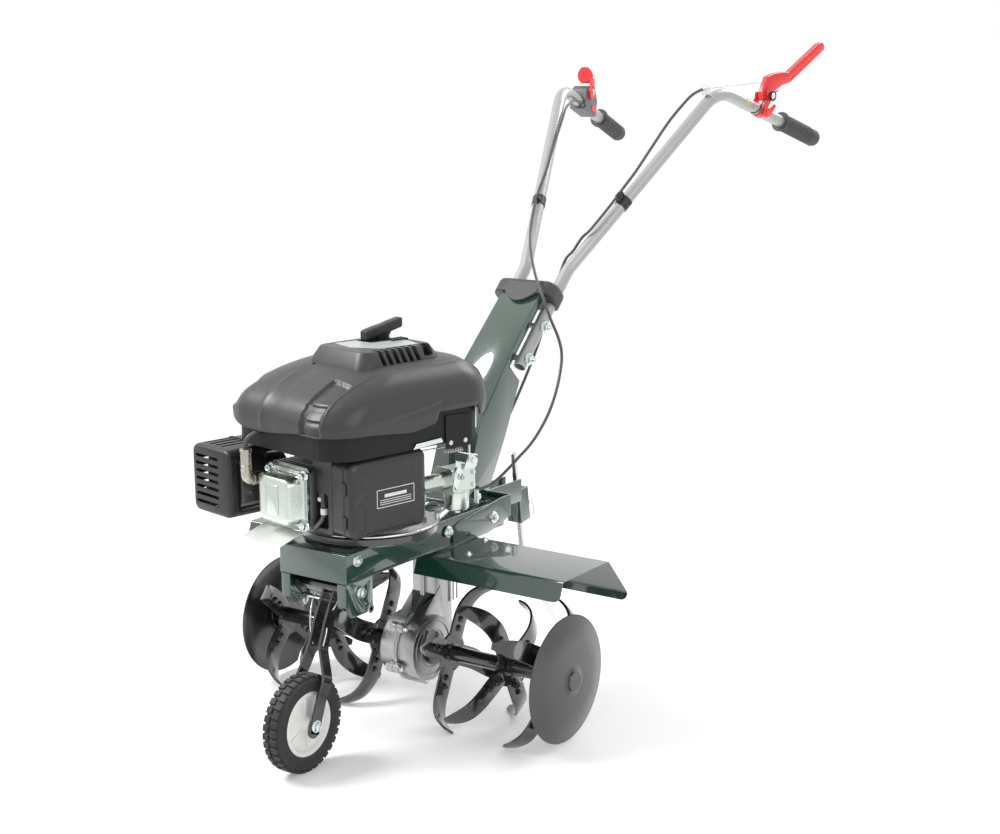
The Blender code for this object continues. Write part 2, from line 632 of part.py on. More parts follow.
def belt_drive(parent, steel, cast, rubber):
    place = (0.0, ENGINE_Y)
    pulley = join(turned(grooved(ENGINE_PULLEY, 0.0040), "Z", place, 20),
                  turned(((0.0040, PULLEY_Z), (0.0100, PULLEY_Z), (0.0100, 0.3500), (0.0040, 0.3500)),
                         "Z", place, 20))
    piece("crankshaft_pulley", pulley, steel, parent, pivot=(*place, PULLEY_Z))
    place = (0.0, WORM_Y)
    hub = turned(((0.0083, PULLEY_Z - 0.0110), (0.0140, PULLEY_Z - 0.0110), (0.0140, PULLEY_Z),
                  (0.0083, PULLEY_Z)), "Z", place, 16)
    driven = join(turned(grooved(DRIVEN_PULLEY, 0.0083), "Z", place, 28), hub)
    piece("driven_pulley", driven, cast, parent, pivot=(*place, PULLEY_Z))

    outer_rows = []
    for grow in (0.0040, 0.0003):
        near = ENGINE_PULLEY - 0.0050 + grow
        far = DRIVEN_PULLEY - 0.0050 + grow
        reach = WORM_Y - ENGINE_Y
        lean = math.asin((far - near) / reach)
        outline = []
        for i in range(13):
            a = math.pi + lean + (math.pi - 2 * lean) * i / 12
            outline.append((near * math.cos(a), ENGINE_Y + near * math.sin(a)))
        for i in range(17):
            a = -lean + (math.pi + 2 * lean) * i / 16
            outline.append((far * math.cos(a), WORM_Y + far * math.sin(a)))
        outer_rows.append(outline)
    low = PULLEY_Z - 0.0022
    high = PULLEY_Z + 0.0022
    rings = [[Vector((x, y, z)) for x, y in outline]
             for outline, z in ((outer_rows[0], low), (outer_rows[0], high),
                                (outer_rows[1], high), (outer_rows[1], low))]
    piece("drive_belt", loft(rings, closed=True), rubber, parent)

    px, py = TENSIONER_PIVOT
    ix, iy = IDLER_PLACE
    arm = prism(((px - 0.006, py + 0.006), (ix - 0.005, iy - 0.005), (ix + 0.005, iy - 0.006),
                 (px + 0.007, py + 0.003)), 0.3180, 0.3200)
    arm = join(arm, rod(0.0028, 0.3010, 0.3190, centre=IDLER_PLACE, sides=12),
               rod(0.0065, 0.3180, 0.3280, centre=TENSIONER_PIVOT, sides=16))
    piece("tensioner_arm", arm, steel, parent, pivot=(px, py, PULLEY_Z))
    idler = turned(((0.0031, 0.3020), (IDLER_RADIUS, 0.3020), (IDLER_RADIUS, 0.3170),
                    (0.0031, 0.3170)), "Z", IDLER_PLACE, 20)
    piece("idler_pulley", idler, cast, parent, pivot=(ix, iy, PULLEY_Z))


# ---- engine (its own frame: crankshaft at the origin, cylinder towards -Y) -------------------
HEAD_X = -0.020


def engine_base(parent, alloy):
    """Sump flange, crankcase, finned cylinder and the oil filler neck."""
    z = ENGINE_BASE_Z
    sump = rod(0.1060, z, z + 0.0070, sides=36)
    case = rod(0.0620, z + 0.006, ENGINE_TOP, sides=28)
    block = box((HEAD_X - 0.038, -0.1360, 0.3640), (HEAD_X + 0.038, -0.0500, 0.4460))
    fins = [box((HEAD_X - 0.0420, -0.1345 + 0.0105 * i, 0.3570),
                (HEAD_X + 0.0420, -0.1315 + 0.0105 * i, 0.4550)) for i in range(5)]
    neck = rod(0.0140, z + 0.003, 0.4300, centre=DIPSTICK, sides=16)
    stub = rod(0.0125, -0.1000, -0.0500, "Y", (0.4200, 0.0), sides=12)
    base = join(sump, case, block, *fins, neck, stub)
    base = cut(base, rod(0.0100 + GAP, 0.30, 0.3520, sides=20),
               rod(0.0050, 0.3440, 0.44, centre=DIPSTICK, sides=12))
    piece("engine_base", base, alloy, parent, angle=30)


DIPSTICK = (-0.0880, 0.0400)


def valve_cover(parent, alloy):
    """Domed cover on its flange plate, with four hexagon bolt heads."""
    shape = loft([[Vector((x, y, z)) for x, z in rounded(hx, hz, 0.012, (HEAD_X, 0.4060), 3)]
                  for y, hx, hz in ((-0.1425, 0.039, 0.037), (-0.1640, 0.038, 0.036),
                                    (-0.1700, 0.033, 0.031))])
    plate = loft([[Vector((x, y, z)) for x, z in rounded(0.046, 0.044, 0.008, (HEAD_X, 0.4060), 2)]
                  for y in (-0.1363, -0.1430)])
    lugs = [rod(0.0065, -0.1480, -0.1370, "Y", (z, HEAD_X + x), sides=6)
            for x, z in ((-0.038, 0.441), (0.038, 0.441), (-0.038, 0.371), (0.038, 0.371))]
    piece("valve_cover", join(plate, shape, *lugs), alloy, parent)


def muffler(parent, dark, black):
    """Silencer can and the slotted guard around it."""
    can = loft([[Vector((x, y, z)) for x, z in rounded(0.046, 0.042, 0.020, (-0.1480, 0.4130), 3)]
                for y in (-0.0800, -0.1680)])
    outlet = rod(0.0110, -0.1100, -0.0690, "X", (-0.1200, 0.4100), sides=14)
    piece("muffler", join(can, outlet), dark, parent)
    front, back = -0.1850, -0.0950
    wall = 0.0022
    outline = [(x, z) for x, z in rounded(0.050, 0.054, 0.012, (-0.1580, 0.4140), 3)]
    inside = [(x, z) for x, z in rounded(0.0478, 0.0518, 0.010, (-0.1580, 0.4140), 3)]
    guard = loft([[Vector((x, y, z)) for x, z in outline] for y in (front, back)])
    hollow = loft([[Vector((x, y, z)) for x, z in inside] for y in (front + wall, back + 0.02)])
    slots = [box((-0.1980, -0.20, 0.3740 + 0.0125 * i), (-0.1500, -0.18, 0.3790 + 0.0125 * i))
             for i in range(7)]
    sides = [box((-0.2200, -0.1720, 0.3740 + 0.0125 * i), (-0.2000, -0.1150, 0.3790 + 0.0125 * i))
             for i in range(7)]
    tops = [box((-0.1900 + 0.018 * i, -0.1700, 0.46), (-0.1820 + 0.018 * i, -0.1100, 0.48))
            for i in range(4)]
    side_open = box((-0.1300, -0.1750, 0.3700), (-0.1000, -0.08, 0.4580))
    piece("muffler_guard", cut(guard, hollow, side_open, *slots, *sides, *tops), black, parent)


def spark_plug_boot(parent, mat):
    """Elbow boot on the plug, above the valve cover's outer corner."""
    path = filleted([(-0.0720, -0.1515, 0.4300), (-0.0720, -0.1800, 0.4300),
                     (-0.0720, -0.1800, 0.4850)], (0.010,), steps=4)
    boot = join(bar(path, 0.0070, 12), rod(0.0090, -0.1700, -0.1515, "Y", (0.4300, -0.0720), 12))
    piece("spark_plug_boot", boot, mat, parent)


def heat_deflector(parent, mat):
    outline = ((-0.1850, 0.3400), (-0.1850, 0.3415), (-0.1450, 0.3535), (-0.1390, 0.3535),
               (-0.1390, 0.3520), (-0.1450, 0.3520))
    sheet = prism(outline, HEAD_X - 0.058, HEAD_X + 0.034, "X")
    piece("heat_deflector", sheet, mat, parent)


COVER_LEVELS = (     # height, front, back, right, left, corner radius
    (COVER_SKIRT_Z, -0.167, 0.160, -0.155, 0.126, 0.060),
    (0.5350, -0.167, 0.163, -0.155, 0.128, 0.062),
    (0.5600, -0.152, 0.162, -0.149, 0.125, 0.062),
    (0.5820, -0.116, 0.154, -0.130, 0.115, 0.060),
    (0.5980, -0.078, 0.138, -0.104, 0.096, 0.055),
    (COVER_TOP_Z, -0.056, 0.118, -0.086, 0.078, 0.050),
)


def cover_ring(level, inset=0.0, drop=0.0):
    """One outline of the engine cover; the skirt rises towards the back."""
    z, front, back, right, left, radius = level
    front, back = front + inset, back - inset
    right, left = right + inset, left - inset
    outline = rounded((left - right) / 2, (back - front) / 2, radius - inset,
                      ((left + right) / 2, (front + back) / 2), 6)
    ring = []
    for x, y in outline:
        lift = 0.0
        if z < 0.52:
            lift = 0.024 * min(max(y / 0.16, 0.0), 1.0)
        ring.append(Vector((x, y, z + lift - drop)))
    return ring


FILLER = (-0.0900, 0.0950)


def engine_cover(parent, mat):
    """Hollow moulded cover with the starter console and the filler opening."""
    wall = 0.0026
    outer = [cover_ring(level) for level in COVER_LEVELS]
    inner = [cover_ring(level, wall, wall if level[0] > 0.55 else 0.0) for level in COVER_LEVELS]
    bm = bmesh.new()
    rows = [[bm.verts.new(p) for p in ring] for ring in outer[::-1] + inner]
    count = len(rows[0])
    for low, high in zip(rows, rows[1:]):
        for i in range(count):
            bm.faces.new((low[i], low[(i + 1) % count], high[(i + 1) % count], high[i]))
    bm.faces.new(rows[0])
    bm.faces.new(rows[-1])
    bmesh.ops.recalc_face_normals(bm, faces=bm.faces)
    console = loft([[Vector((x, y, z)) for x, y in rounded(hx, hy, 0.022, (0.004, 0.014), 4)]
                    for z, hx, hy in ((0.5990, 0.070, 0.082), (0.6170, 0.066, 0.076),
                                      (CONSOLE_TOP_Z, 0.058, 0.068))])
    well = box((-0.0420, 0.0080, 0.6110), (-0.0140, 0.0900, 0.66))
    rope_way = rod(0.0040, 0.58, 0.62, centre=STARTER, sides=10)
    filler_way = rod(0.0250, 0.50, 0.66, centre=FILLER, sides=20)
    cover = cut(join(bm, console), well, rope_way, filler_way)
    piece("engine_cover", cover, mat, parent, angle=30)


STARTER = (-0.0280, 0.0550)


def recoil_starter(parent, black, cord):
    """Grip of the starter, standing in its well, and the end of its rope."""
    grip = loft([[Vector((x, y, z)) for x, z in rounded(0.0080, 0.0075, 0.006,
                                                        (STARTER[0], 0.6420), 3)]
                 for y in (STARTER[1] - 0.0370, STARTER[1] + 0.0370)])
    stem = loft([[Vector((x, y, z)) for x, y in rounded(0.0065, 0.0150, 0.005, STARTER, 2)]
                 for z in (0.6130, 0.6400)])
    piece("starter_handle", join(grip, stem), black, parent, pivot=(*STARTER, 0.6130))
    rope = rod(0.0020, 0.5700, 0.6127, centre=STARTER, sides=10)
    piece("starter_rope", rope, cord, parent, pivot=(*STARTER, 0.5700))


def blower_housing(parent, mat):
    """Black tub under the cover; the tank stands in its open back."""
    floor, rim, wall = SHROUD_FLOOR, 0.5300, 0.0020
    base = COVER_LEVELS[0]
    rings = []
    for inset, z in ((0.0085, floor), (0.0085, rim), (0.0085 + wall, rim),
                     (0.0085 + wall, floor + wall)):
        rings.append([Vector((p.x, p.y, z)) for p in cover_ring(base, inset)])
    tub = loft(rings)
    boss = rod(0.0220, ENGINE_TOP + GAP, floor + 0.0010, centre=(-0.0100, 0.0), sides=16)
    tub = cut(join(tub, boss), box((-0.20, 0.1250, 0.40), (0.20, 0.20, 0.60)))
    piece("blower_housing", tub, mat, parent)


def fuel_tank(parent, mat, black):
    """Tank with its filler neck through the cover, and the cap on it."""
    low = SHROUD_FLOOR + 0.0020 + GAP
    body = loft([[Vector((x, y, z)) for x, y in rounded(hx, hy, 0.030, (-0.010, 0.105), 4)]
                 for z, hx, hy in ((low, 0.108, 0.040), (low + 0.0070, 0.114, 0.046),
                                   (0.5500, 0.114, 0.046), (0.5600, 0.108, 0.040))])
    neck = rod(0.0200, 0.55, 0.5960, centre=FILLER, sides=20)
    bore = rod(0.0170, 0.5300, 0.61, centre=FILLER, sides=20)
    piece("fuel_tank", cut(join(body, neck), bore), mat, parent)
    cap = turned(((0.0030, 0.5963), (0.0230, 0.5963), (0.0235, 0.6100), (0.0200, 0.6140),
                  (0.0030, 0.6140)), "Z", FILLER, 24)
    plug = rod(0.0120, 0.5600, 0.6120, centre=FILLER, sides=16)
    piece("fuel_cap", join(cap, plug), black, parent, pivot=(*FILLER, 0.5963))


def oil_dipstick(parent, mat):
    cap = rod(0.0150, 0.4303, 0.4440, centre=DIPSTICK, sides=12)
    stick = rod(0.0025, 0.3480, 0.4350, centre=DIPSTICK, sides=8)
    tab = box((DIPSTICK[0] - 0.0030, DIPSTICK[1] - 0.0130, 0.4430),
              (DIPSTICK[0] + 0.0030, DIPSTICK[1] + 0.0130, 0.4520))
    piece("oil_dipstick", join(cap, stick, tab), mat, parent, pivot=(*DIPSTICK, 0.4303))


# ---- air filter and carburettor --------------------------------------------------------------
FILTER_Z = (0.3580, 0.4780)
FILTER_Y = (-0.1270, 0.0215)
FILTER_HINGE = (0.0722, -0.1306)
FILTER_SPLIT_X = 0.0700


def filter_ring(x, inset, radius=0.014):
    """Outline of the filter housing at one depth."""
    half_y = (FILTER_Y[1] - FILTER_Y[0]) / 2 - inset
    half_z = (FILTER_Z[1] - FILTER_Z[0]) / 2 - inset
    middle = (sum(FILTER_Y) / 2, sum(FILTER_Z) / 2)
    return [Vector((x, y, z)) for y, z in rounded(half_y, half_z, radius - inset / 2, middle, 3)]


def air_filter(parent, black, foam):
    """Case beside the cylinder, hinged cover and the element between them."""
    wall = 0.0025
    plate = loft([filter_ring(0.0665, 0.0), filter_ring(FILTER_SPLIT_X, 0.0)])
    back_y = -0.0660
    bin_low = (0.0240, FILTER_Y[0] + 0.0020, FILTER_Z[0] + 0.0020)
    bin_high = (FILTER_SPLIT_X, back_y, FILTER_Z[1] - 0.0020)
    hollow = box([v + wall for v in bin_low], (0.0800, back_y - wall, bin_high[2] - wall))
    case = cut(join(plate, box(bin_low, bin_high)), hollow)
    piece("air_filter_case", case, black, parent)

    shut = FILTER_SPLIT_X + GAP
    outside = 0.1150
    outer = loft([filter_ring(shut, 0.0), filter_ring(outside - 0.006, 0.0),
                  filter_ring(outside, 0.005)])
    inner = loft([filter_ring(shut - 0.01, wall), filter_ring(outside - 2 * wall, wall)])
    loops = [rod(0.0032, z, z + 0.0240, centre=FILTER_HINGE, sides=10) for z in (0.3780, 0.4340)]
    webs = [box((FILTER_HINGE[0], FILTER_HINGE[1], z), (0.0790, FILTER_Y[0] + 0.001, z + 0.0240))
            for z in (0.3780, 0.4340)]
    cover = join(cut(outer, inner), *webs, *loops)
    piece("air_filter_cover", cover, black, parent, pivot=(*FILTER_HINGE, 0.4180))
    element = box((shut, -0.1150, 0.3700), (0.1040, 0.0100, 0.4660))
    piece("filter_element", element, foam, parent)


CARB = Vector((0.0780, 0.1140, 0.4080))
THROTTLE_SHAFT = (CARB.x, CARB.y + 0.0080)


def carburettor(parent, alloy, steel):
    x, y, z = CARB
    body = box((x - 0.0200, y - 0.0260, z - 0.0180), (x + 0.0200, y + 0.0260, z + 0.0180))
    intake = rod(0.0115, FILTER_Y[1] + GAP, y - 0.0240, "Y", (z, x), sides=16)
    bowl = rod(0.0210, z - 0.0500, z - 0.0170, centre=(x, y), sides=18)
    nut = rod(0.0055, z - 0.0560, z - 0.0490, centre=(x, y), sides=6)
    inlet = rod(0.0040, x + 0.0190, x + 0.0300, "X", (y - 0.0120, z + 0.0080), sides=10)
    clamp = box((x - 0.0190, y + 0.0160, z - 0.0400), (x - 0.0030, y + 0.0470, z - 0.0240))
    carb = cut(join(body, intake, bowl, nut, inlet, clamp),
               rod(0.0034, z + 0.0060, 0.45, centre=THROTTLE_SHAFT, sides=10))
    piece("carburettor", carb, alloy, parent, angle=30)
    x, y = THROTTLE_SHAFT
    arm = join(rod(0.0030, 0.4170, 0.4330, centre=THROTTLE_SHAFT, sides=10),
               prism(((x - 0.004, y - 0.005), (x + 0.004, y - 0.005), (x + 0.023, y + 0.004),
                      (x + 0.021, y + 0.010), (x - 0.004, y + 0.005)), 0.4290, 0.4310))
    piece("throttle_arm", arm, steel, parent, pivot=(x, y, 0.4300))


# ---- handle controls (frames on each tube: +Y along the tube, +Z square to it) ---------------
LEVER_PIVOT = Vector((0.0, 0.1380, 0.0300))
LATCH_PIVOT = Vector((0.0170, 0.1340, 0.0000))


def clutch_controls(parent, red, steel):
    frame = empty("clutch_frame", parent, HANDLE_CORNER, (HANDLE_PITCH, 0, -HANDLE_YAW))
    inner = TUBE_RADIUS + GAP
    side = ((0.0920, -0.0140), (0.1560, -0.0140), (0.1600, 0.0140), (0.1540, 0.0400),
            (0.1260, 0.0560), (0.1080, 0.0460), (0.0920, 0.0220))
    bracket = cut(prism(side, -0.0142, 0.0142, "X"),
                  box((-0.0112, 0.05, 0.0), (0.0112, 0.20, 0.08)),
                  rod(inner, 0.05, 0.20, "Y", (0.0, 0.0), 16))
    bolt = rod(0.0030, -0.0170, 0.0170, "X", (LEVER_PIVOT.y, LEVER_PIVOT.z), 12)
    heads = [rod(0.0060, *ends, "X", (LEVER_PIVOT.y, LEVER_PIVOT.z), 6)
             for ends in ((0.0140, 0.0175), (-0.0175, -0.0140))]
    piece("clutch_bracket", join(bracket, bolt, *heads), red, frame)

    outline = ((0.1310, 0.0200), (0.1450, 0.0200), (0.1520, 0.0330), (0.1620, 0.0480),
               (0.1800, 0.0640), (0.2020, 0.0760), (0.2720, 0.1520), (0.2850, 0.1660),
               (0.2845, 0.1740), (0.2760, 0.1790), (0.2640, 0.1720), (0.1900, 0.0920),
               (0.1700, 0.0870), (0.1430, 0.0740), (0.1290, 0.0640), (0.1240, 0.0340))
    lever = cut(prism(outline, -0.0060, 0.0060, "X"),
                rod(0.0034, -0.02, 0.02, "X", (LEVER_PIVOT.y, LEVER_PIVOT.z), 12))
    piece("clutch_lever", lever, red, frame, pivot=LEVER_PIVOT)

    y, z = LATCH_PIVOT.yz
    pawl = prism(((y - 0.010, z - 0.0100), (y + 0.002, z - 0.0120), (y + 0.014, z - 0.0040),
                  (y + 0.024, z + 0.0160), (y + 0.019, z + 0.0190), (y + 0.008, z + 0.0080),
                  (y - 0.008, z + 0.0040)), 0.0146, 0.0176, "X")
    stud = rod(0.0050, 0.0170, 0.0195, "X", (y, z), 12)
    piece("safety_latch", join(pawl, stud), red, frame, pivot=LATCH_PIVOT)


THROTTLE_PIVOT = Vector((0.0, 0.1040, 0.0230))


def throttle_controls(parent, grey, red):
    corner = (-HANDLE_CORNER.x, *HANDLE_CORNER.yz)
    frame = empty("throttle_frame", parent, corner, (HANDLE_PITCH, 0, HANDLE_YAW))
    inner = TUBE_RADIUS + GAP
    side = ((0.0850, -0.0150), (0.1460, -0.0150), (0.1460, 0.0180), (0.1300, 0.0340),
            (0.0950, 0.0340), (0.0850, 0.0250))
    housing = cut(prism(side, -0.0160, 0.0160, "X"), rod(inner, 0.05, 0.20, "Y", (0.0, 0.0), 16))
    y, z = THROTTLE_PIVOT.yz
    hub = rod(0.0050, 0.0155, 0.0230, "X", (y, z), 12)
    ferrule = rod(0.0040, 0.0700, 0.0860, "Y", (-0.0090, 0.0125), 10)
    piece("throttle_housing", join(housing, hub, ferrule), grey, frame)
    boss = cut(rod(0.0130, 0.0163, 0.0215, "X", (y, z), 20),
               rod(0.0053, 0.0, 0.04, "X", (y, z), 12))
    paddle = prism(((y - 0.0100, z + 0.0060), (y + 0.0080, z + 0.0090), (y + 0.0010, z + 0.0290),
                    (y - 0.0050, z + 0.0400), (y - 0.0150, z + 0.0420), (y - 0.0210, z + 0.0330),
                    (y - 0.0180, z + 0.0200)), 0.0163, 0.0215, "X")
    piece("throttle_lever", join(boss, paddle), red, frame, pivot=(0.0190, y, z))


# ---- cables ----------------------------------------------------------------------------------
THROTTLE_ROUTE = (
    (-0.1672, 0.7622, 0.9660), (-0.1632, 0.7395, 0.9725), (-0.1530, 0.7080, 0.9700),
    (-0.1420, 0.6720, 0.9600), (-0.1290, 0.6380, 0.9390), (-0.1110, 0.5800, 0.8910),
    (-0.0960, 0.5330, 0.8500), (-0.0830, 0.4830, 0.8070),
    (-0.0560, 0.4220, 0.7520), (-0.0180, 0.3680, 0.7180), (0.0220, 0.3200, 0.6900),
    (0.0500, 0.2960, 0.6640), (0.0760, 0.2840, 0.6240), (0.0930, 0.2860, 0.5870),
    (0.1010, 0.2830, 0.5560), (0.1080, 0.2600, 0.5140), (0.1150, 0.2256, 0.4774),
    (0.1180, 0.1909, 0.4497), (0.1180, 0.1611, 0.4298), (0.1170, 0.1332, 0.4164),
    (0.1140, 0.1086, 0.4024), (0.1100, 0.0857, 0.3897), (0.1050, 0.0646, 0.3800),
    (0.0975, 0.0350, 0.3760))
CLUTCH_ROUTE = (
    (0.1605, 0.6570, 0.9978), (0.1580, 0.6465, 0.9947), (0.1540, 0.6320, 0.9890),
    (0.1485, 0.6151, 0.9770), (0.1340, 0.5809, 0.9420), (0.1164, 0.5439, 0.8923),
    (0.1033, 0.5165, 0.8551), (0.0908, 0.4879, 0.8223), (0.0800, 0.4640, 0.7945),
    (0.0640, 0.4320, 0.7590), (0.0480, 0.4290, 0.7440), (0.0340, 0.4230, 0.7210),
    (0.0200, 0.4150, 0.7000), (0.0050, 0.3980, 0.6300), (0.0050, 0.3400, 0.5400),
    (0.0050, 0.2650, 0.4500), (0.0080, 0.1950, 0.3830), (0.0100, 0.1650, 0.3600))


def cable(name, route, radius, mat, parent):
    """Cable sheath as a bevelled curve, held by the machine along its whole route."""
    spacing = radius * 6.8
    points = smooth_route(route, spacing)
    curve = bpy.data.curves.new(name, "CURVE")
    curve.dimensions = "3D"
    curve.bevel_depth = radius
    curve.bevel_resolution = 2
    curve.use_fill_caps = True
    spline = curve.splines.new("POLY")
    spline.points.add(len(points) - 1)
    for target, point in zip(spline.points, points):
        target.co = (*point, 1.0)
    curve.materials.append(mat)
    obj = bpy.data.objects.new(name, curve)
    bpy.context.scene.collection.objects.link(obj)
    obj.parent = parent


# ---- assembly --------------------------------------------------------------------------------
def build():
    clear_scene()
    green = material("green enamel", GREEN, 0.18, 0.0)
    black = material("black enamel", BLACK, 0.25, 0.0)
    plastic = material("charcoal plastic", CHARCOAL, 0.6, 0.0)
    black_plastic = material("black plastic", (0.02, 0.02, 0.021), 0.45, 0.0)
    alloy = material("cast aluminium", ALLOY, 0.45, 1.0)
    steel = material("zinc steel", STEEL, 0.3, 1.0)
    grey_tube = material("grey powder coat", TUBE_GREY, 0.35, 0.4)
    rubber = material("rubber", (0.03, 0.03, 0.03), 0.8, 0.0)
    red = material("red plastic", RED, 0.3, 0.0)
    grey = material("grey plastic", (0.12, 0.12, 0.125), 0.5, 0.0)
    white = material("white plastic", (0.8, 0.8, 0.78), 0.4, 0.0)
    brass = material("bronze", (0.55, 0.36, 0.12), 0.35, 1.0)
    foam = material("filter foam", (0.75, 0.6, 0.2), 0.9, 0.0)
    tank = material("tank plastic", (0.55, 0.55, 0.53), 0.45, 0.0)

    root = empty("machine", None, (0, -FOOTPRINT_MID_Y, 0))
    chassis_tray(root, green)
    handle_column(root, green)
    handle_tubes(root, grey_tube, steel, rubber)
    column_cap(root, grey)
    hitch_bracket(root, green)
    drag_stake(root, steel, steel)
    fenders(root, green)
    wheel_fork(root, black, steel)
    transport_wheel(root, white, rubber)
    rotors(root, black, grey)
    gearbox(root, alloy, steel, brass)
    belt_drive(root, steel, grey, rubber)

    engine = empty("engine_frame", root, (0, ENGINE_Y, 0), (0, 0, ENGINE_TURN))
    engine_base(engine, alloy)
    valve_cover(engine, alloy)
    muffler(engine, grey, black_plastic)
    spark_plug_boot(engine, black_plastic)
    heat_deflector(engine, alloy)
    engine_cover(engine, plastic)
    recoil_starter(engine, black_plastic, black_plastic)
    blower_housing(engine, black_plastic)
    fuel_tank(engine, tank, black_plastic)
    oil_dipstick(engine, black_plastic)
    air_filter(engine, black_plastic, foam)
    carburettor(engine, alloy, steel)

    clutch_controls(root, red, steel)
    throttle_controls(root, grey, red)
    cable("throttle_cable", THROTTLE_ROUTE, 0.0025, rubber, root)
    cable("clutch_cable", CLUTCH_ROUTE, 0.0025, rubber, root)


build()
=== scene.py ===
"""Mini cultivator: detailed pieces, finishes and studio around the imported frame."""
import math

import bmesh
import bpy
from bpy.props import FloatProperty, FloatVectorProperty, IntProperty, PointerProperty
from mathutils import Euler, Matrix, Vector


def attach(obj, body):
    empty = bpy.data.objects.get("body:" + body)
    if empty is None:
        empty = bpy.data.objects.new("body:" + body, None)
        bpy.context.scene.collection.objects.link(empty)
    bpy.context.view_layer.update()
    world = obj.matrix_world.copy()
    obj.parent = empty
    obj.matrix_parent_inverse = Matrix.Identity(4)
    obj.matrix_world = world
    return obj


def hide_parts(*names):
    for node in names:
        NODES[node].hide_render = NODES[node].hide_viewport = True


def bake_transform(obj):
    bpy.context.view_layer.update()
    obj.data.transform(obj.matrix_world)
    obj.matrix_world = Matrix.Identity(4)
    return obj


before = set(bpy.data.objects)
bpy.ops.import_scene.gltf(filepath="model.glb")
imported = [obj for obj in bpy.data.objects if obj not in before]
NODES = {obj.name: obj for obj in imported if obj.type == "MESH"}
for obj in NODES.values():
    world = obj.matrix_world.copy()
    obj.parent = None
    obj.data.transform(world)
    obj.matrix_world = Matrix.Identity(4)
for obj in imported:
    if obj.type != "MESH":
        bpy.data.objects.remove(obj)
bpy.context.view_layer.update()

bl_info = {
    "name": "Mini Cultivator",
    "version": (1, 0, 0),
    "blender": (4, 5, 0),
    "location": "3D View > Sidebar > Cultivator",
    "description": "Builds the looks of a petrol mini cultivator around its packed frame",
    "category": "Object",
}

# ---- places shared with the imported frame, in metres ------------------------------------------
GAP = 0.0003
FOOTPRINT_MID_Y = 0.31817
AXLE_Z = 0.1081
STAR_X = (0.072, 0.185, 0.275)
WHEEL_X = 0.0186
WHEEL_CENTRE = (-0.3064, 0.0760)
TUBE_RADIUS = 0.0110
TUBE_WALL = 0.0015
COLUMN_HALF = 0.0400
HANDLE_CORNER = Vector((0.1687, 0.6980, 0.9962))
HANDLE_END = Vector((0.2200, 0.9930, 0.8982))
HANDLE_RUN = (HANDLE_END - HANDLE_CORNER).length
HANDLE_PITCH = math.asin((HANDLE_END.z - HANDLE_CORNER.z) / HANDLE_RUN)
HANDLE_YAW = math.atan2(HANDLE_END.x - HANDLE_CORNER.x, HANDLE_END.y - HANDLE_CORNER.y)

MACHINE = Matrix.Translation((0, -FOOTPRINT_MID_Y, 0))
ENGINE = (MACHINE @ Matrix.Translation((0, -0.115, 0))
          @ Matrix.Rotation(math.radians(-11.5), 4, "Z"))


def handle_frame(side):
    """Place of a grip's own frame: +Y runs along the tube and +Z stands square to it."""
    corner = (side * HANDLE_CORNER.x, HANDLE_CORNER.y, HANDLE_CORNER.z)
    turn = Euler((HANDLE_PITCH, 0, -side * HANDLE_YAW)).to_matrix().to_4x4()
    return MACHINE @ Matrix.Translation(corner) @ turn


LEFT_HANDLE = handle_frame(1)
RIGHT_HANDLE = handle_frame(-1)
CAP = (MACHINE @ Matrix.Translation((0.0, 0.3537, 0.6551))
       @ Matrix.Rotation(math.radians(-45), 4, "X"))


# ---- mesh helpers ----------------------------------------------------------------------------
AXES = {
    "X": Matrix(((0, 0, 1), (1, 0, 0), (0, 1, 0))),
    "Y": Matrix(((0, 1, 0), (0, 0, 1), (1, 0, 0))),
    "Z": Matrix.Identity(3),
}


def skin(rings, closed=False, capped=True):
    """Skin rings of equal point counts; open rows can be capped, closed rows join up."""
    bm = bmesh.new()
    rows = [[bm.verts.new(p) for p in ring] for ring in rings]
    count = len(rows[0])
    pairs = list(zip(rows, rows[1:]))
    if closed:
        pairs.append((rows[-1], rows[0]))
    for low, high in pairs:
        for i in range(count):
            j = (i + 1) % count
            bm.faces.new((low[i], low[j], high[j], high[i]))
    if capped and not closed:
        bm.faces.new(list(reversed(rows[0])))
        bm.faces.new(rows[-1])
    bmesh.ops.recalc_face_normals(bm, faces=bm.faces)
    return bm


def prism(outline, low, high, axis="Z"):
    """Extrude an outline; its points are (y, z) for X, (z, x) for Y and (x, y) for Z."""
    turn = AXES[axis]
    return skin([[turn @ Vector((a, b, level)) for a, b in outline] for level in (low, high)])


def box(low, high):
    outline = ((low[0], low[1]), (high[0], low[1]), (high[0], high[1]), (low[0], high[1]))
    return prism(outline, low[2], high[2])


def rod(radius, low, high, axis="Z", centre=(0.0, 0.0), sides=24):
    outline = [(centre[0] + radius * math.cos(math.tau * i / sides),
                centre[1] + radius * math.sin(math.tau * i / sides)) for i in range(sides)]
    return prism(outline, low, high, axis)


def turned(profile, axis="Z", centre=(0.0, 0.0), sides=64):
    """Revolve a closed profile of (radius, height) points that stays off the axis."""
    turn = AXES[axis]
    rings = []
    for i in range(sides):
        angle = math.tau * i / sides
        rings.append([turn @ Vector((centre[0] + r * math.cos(angle),
                                     centre[1] + r * math.sin(angle), h)) for r, h in profile])
    return skin(rings, closed=True)


def rounded(half_x, half_y, radius, centre=(0.0, 0.0), per_corner=8):
    """Rectangle outline with round corners."""
    points = []
    for sx, sy, start in ((1, 1, 0), (-1, 1, 90), (-1, -1, 180), (1, -1, 270)):
        cx = centre[0] + sx * (half_x - radius)
        cy = centre[1] + sy * (half_y - radius)
        for i in range(per_corner + 1):
            angle = math.radians(start + 90 * i / per_corner)
            points.append((cx + radius * math.cos(angle), cy + radius * math.sin(angle)))
    return points


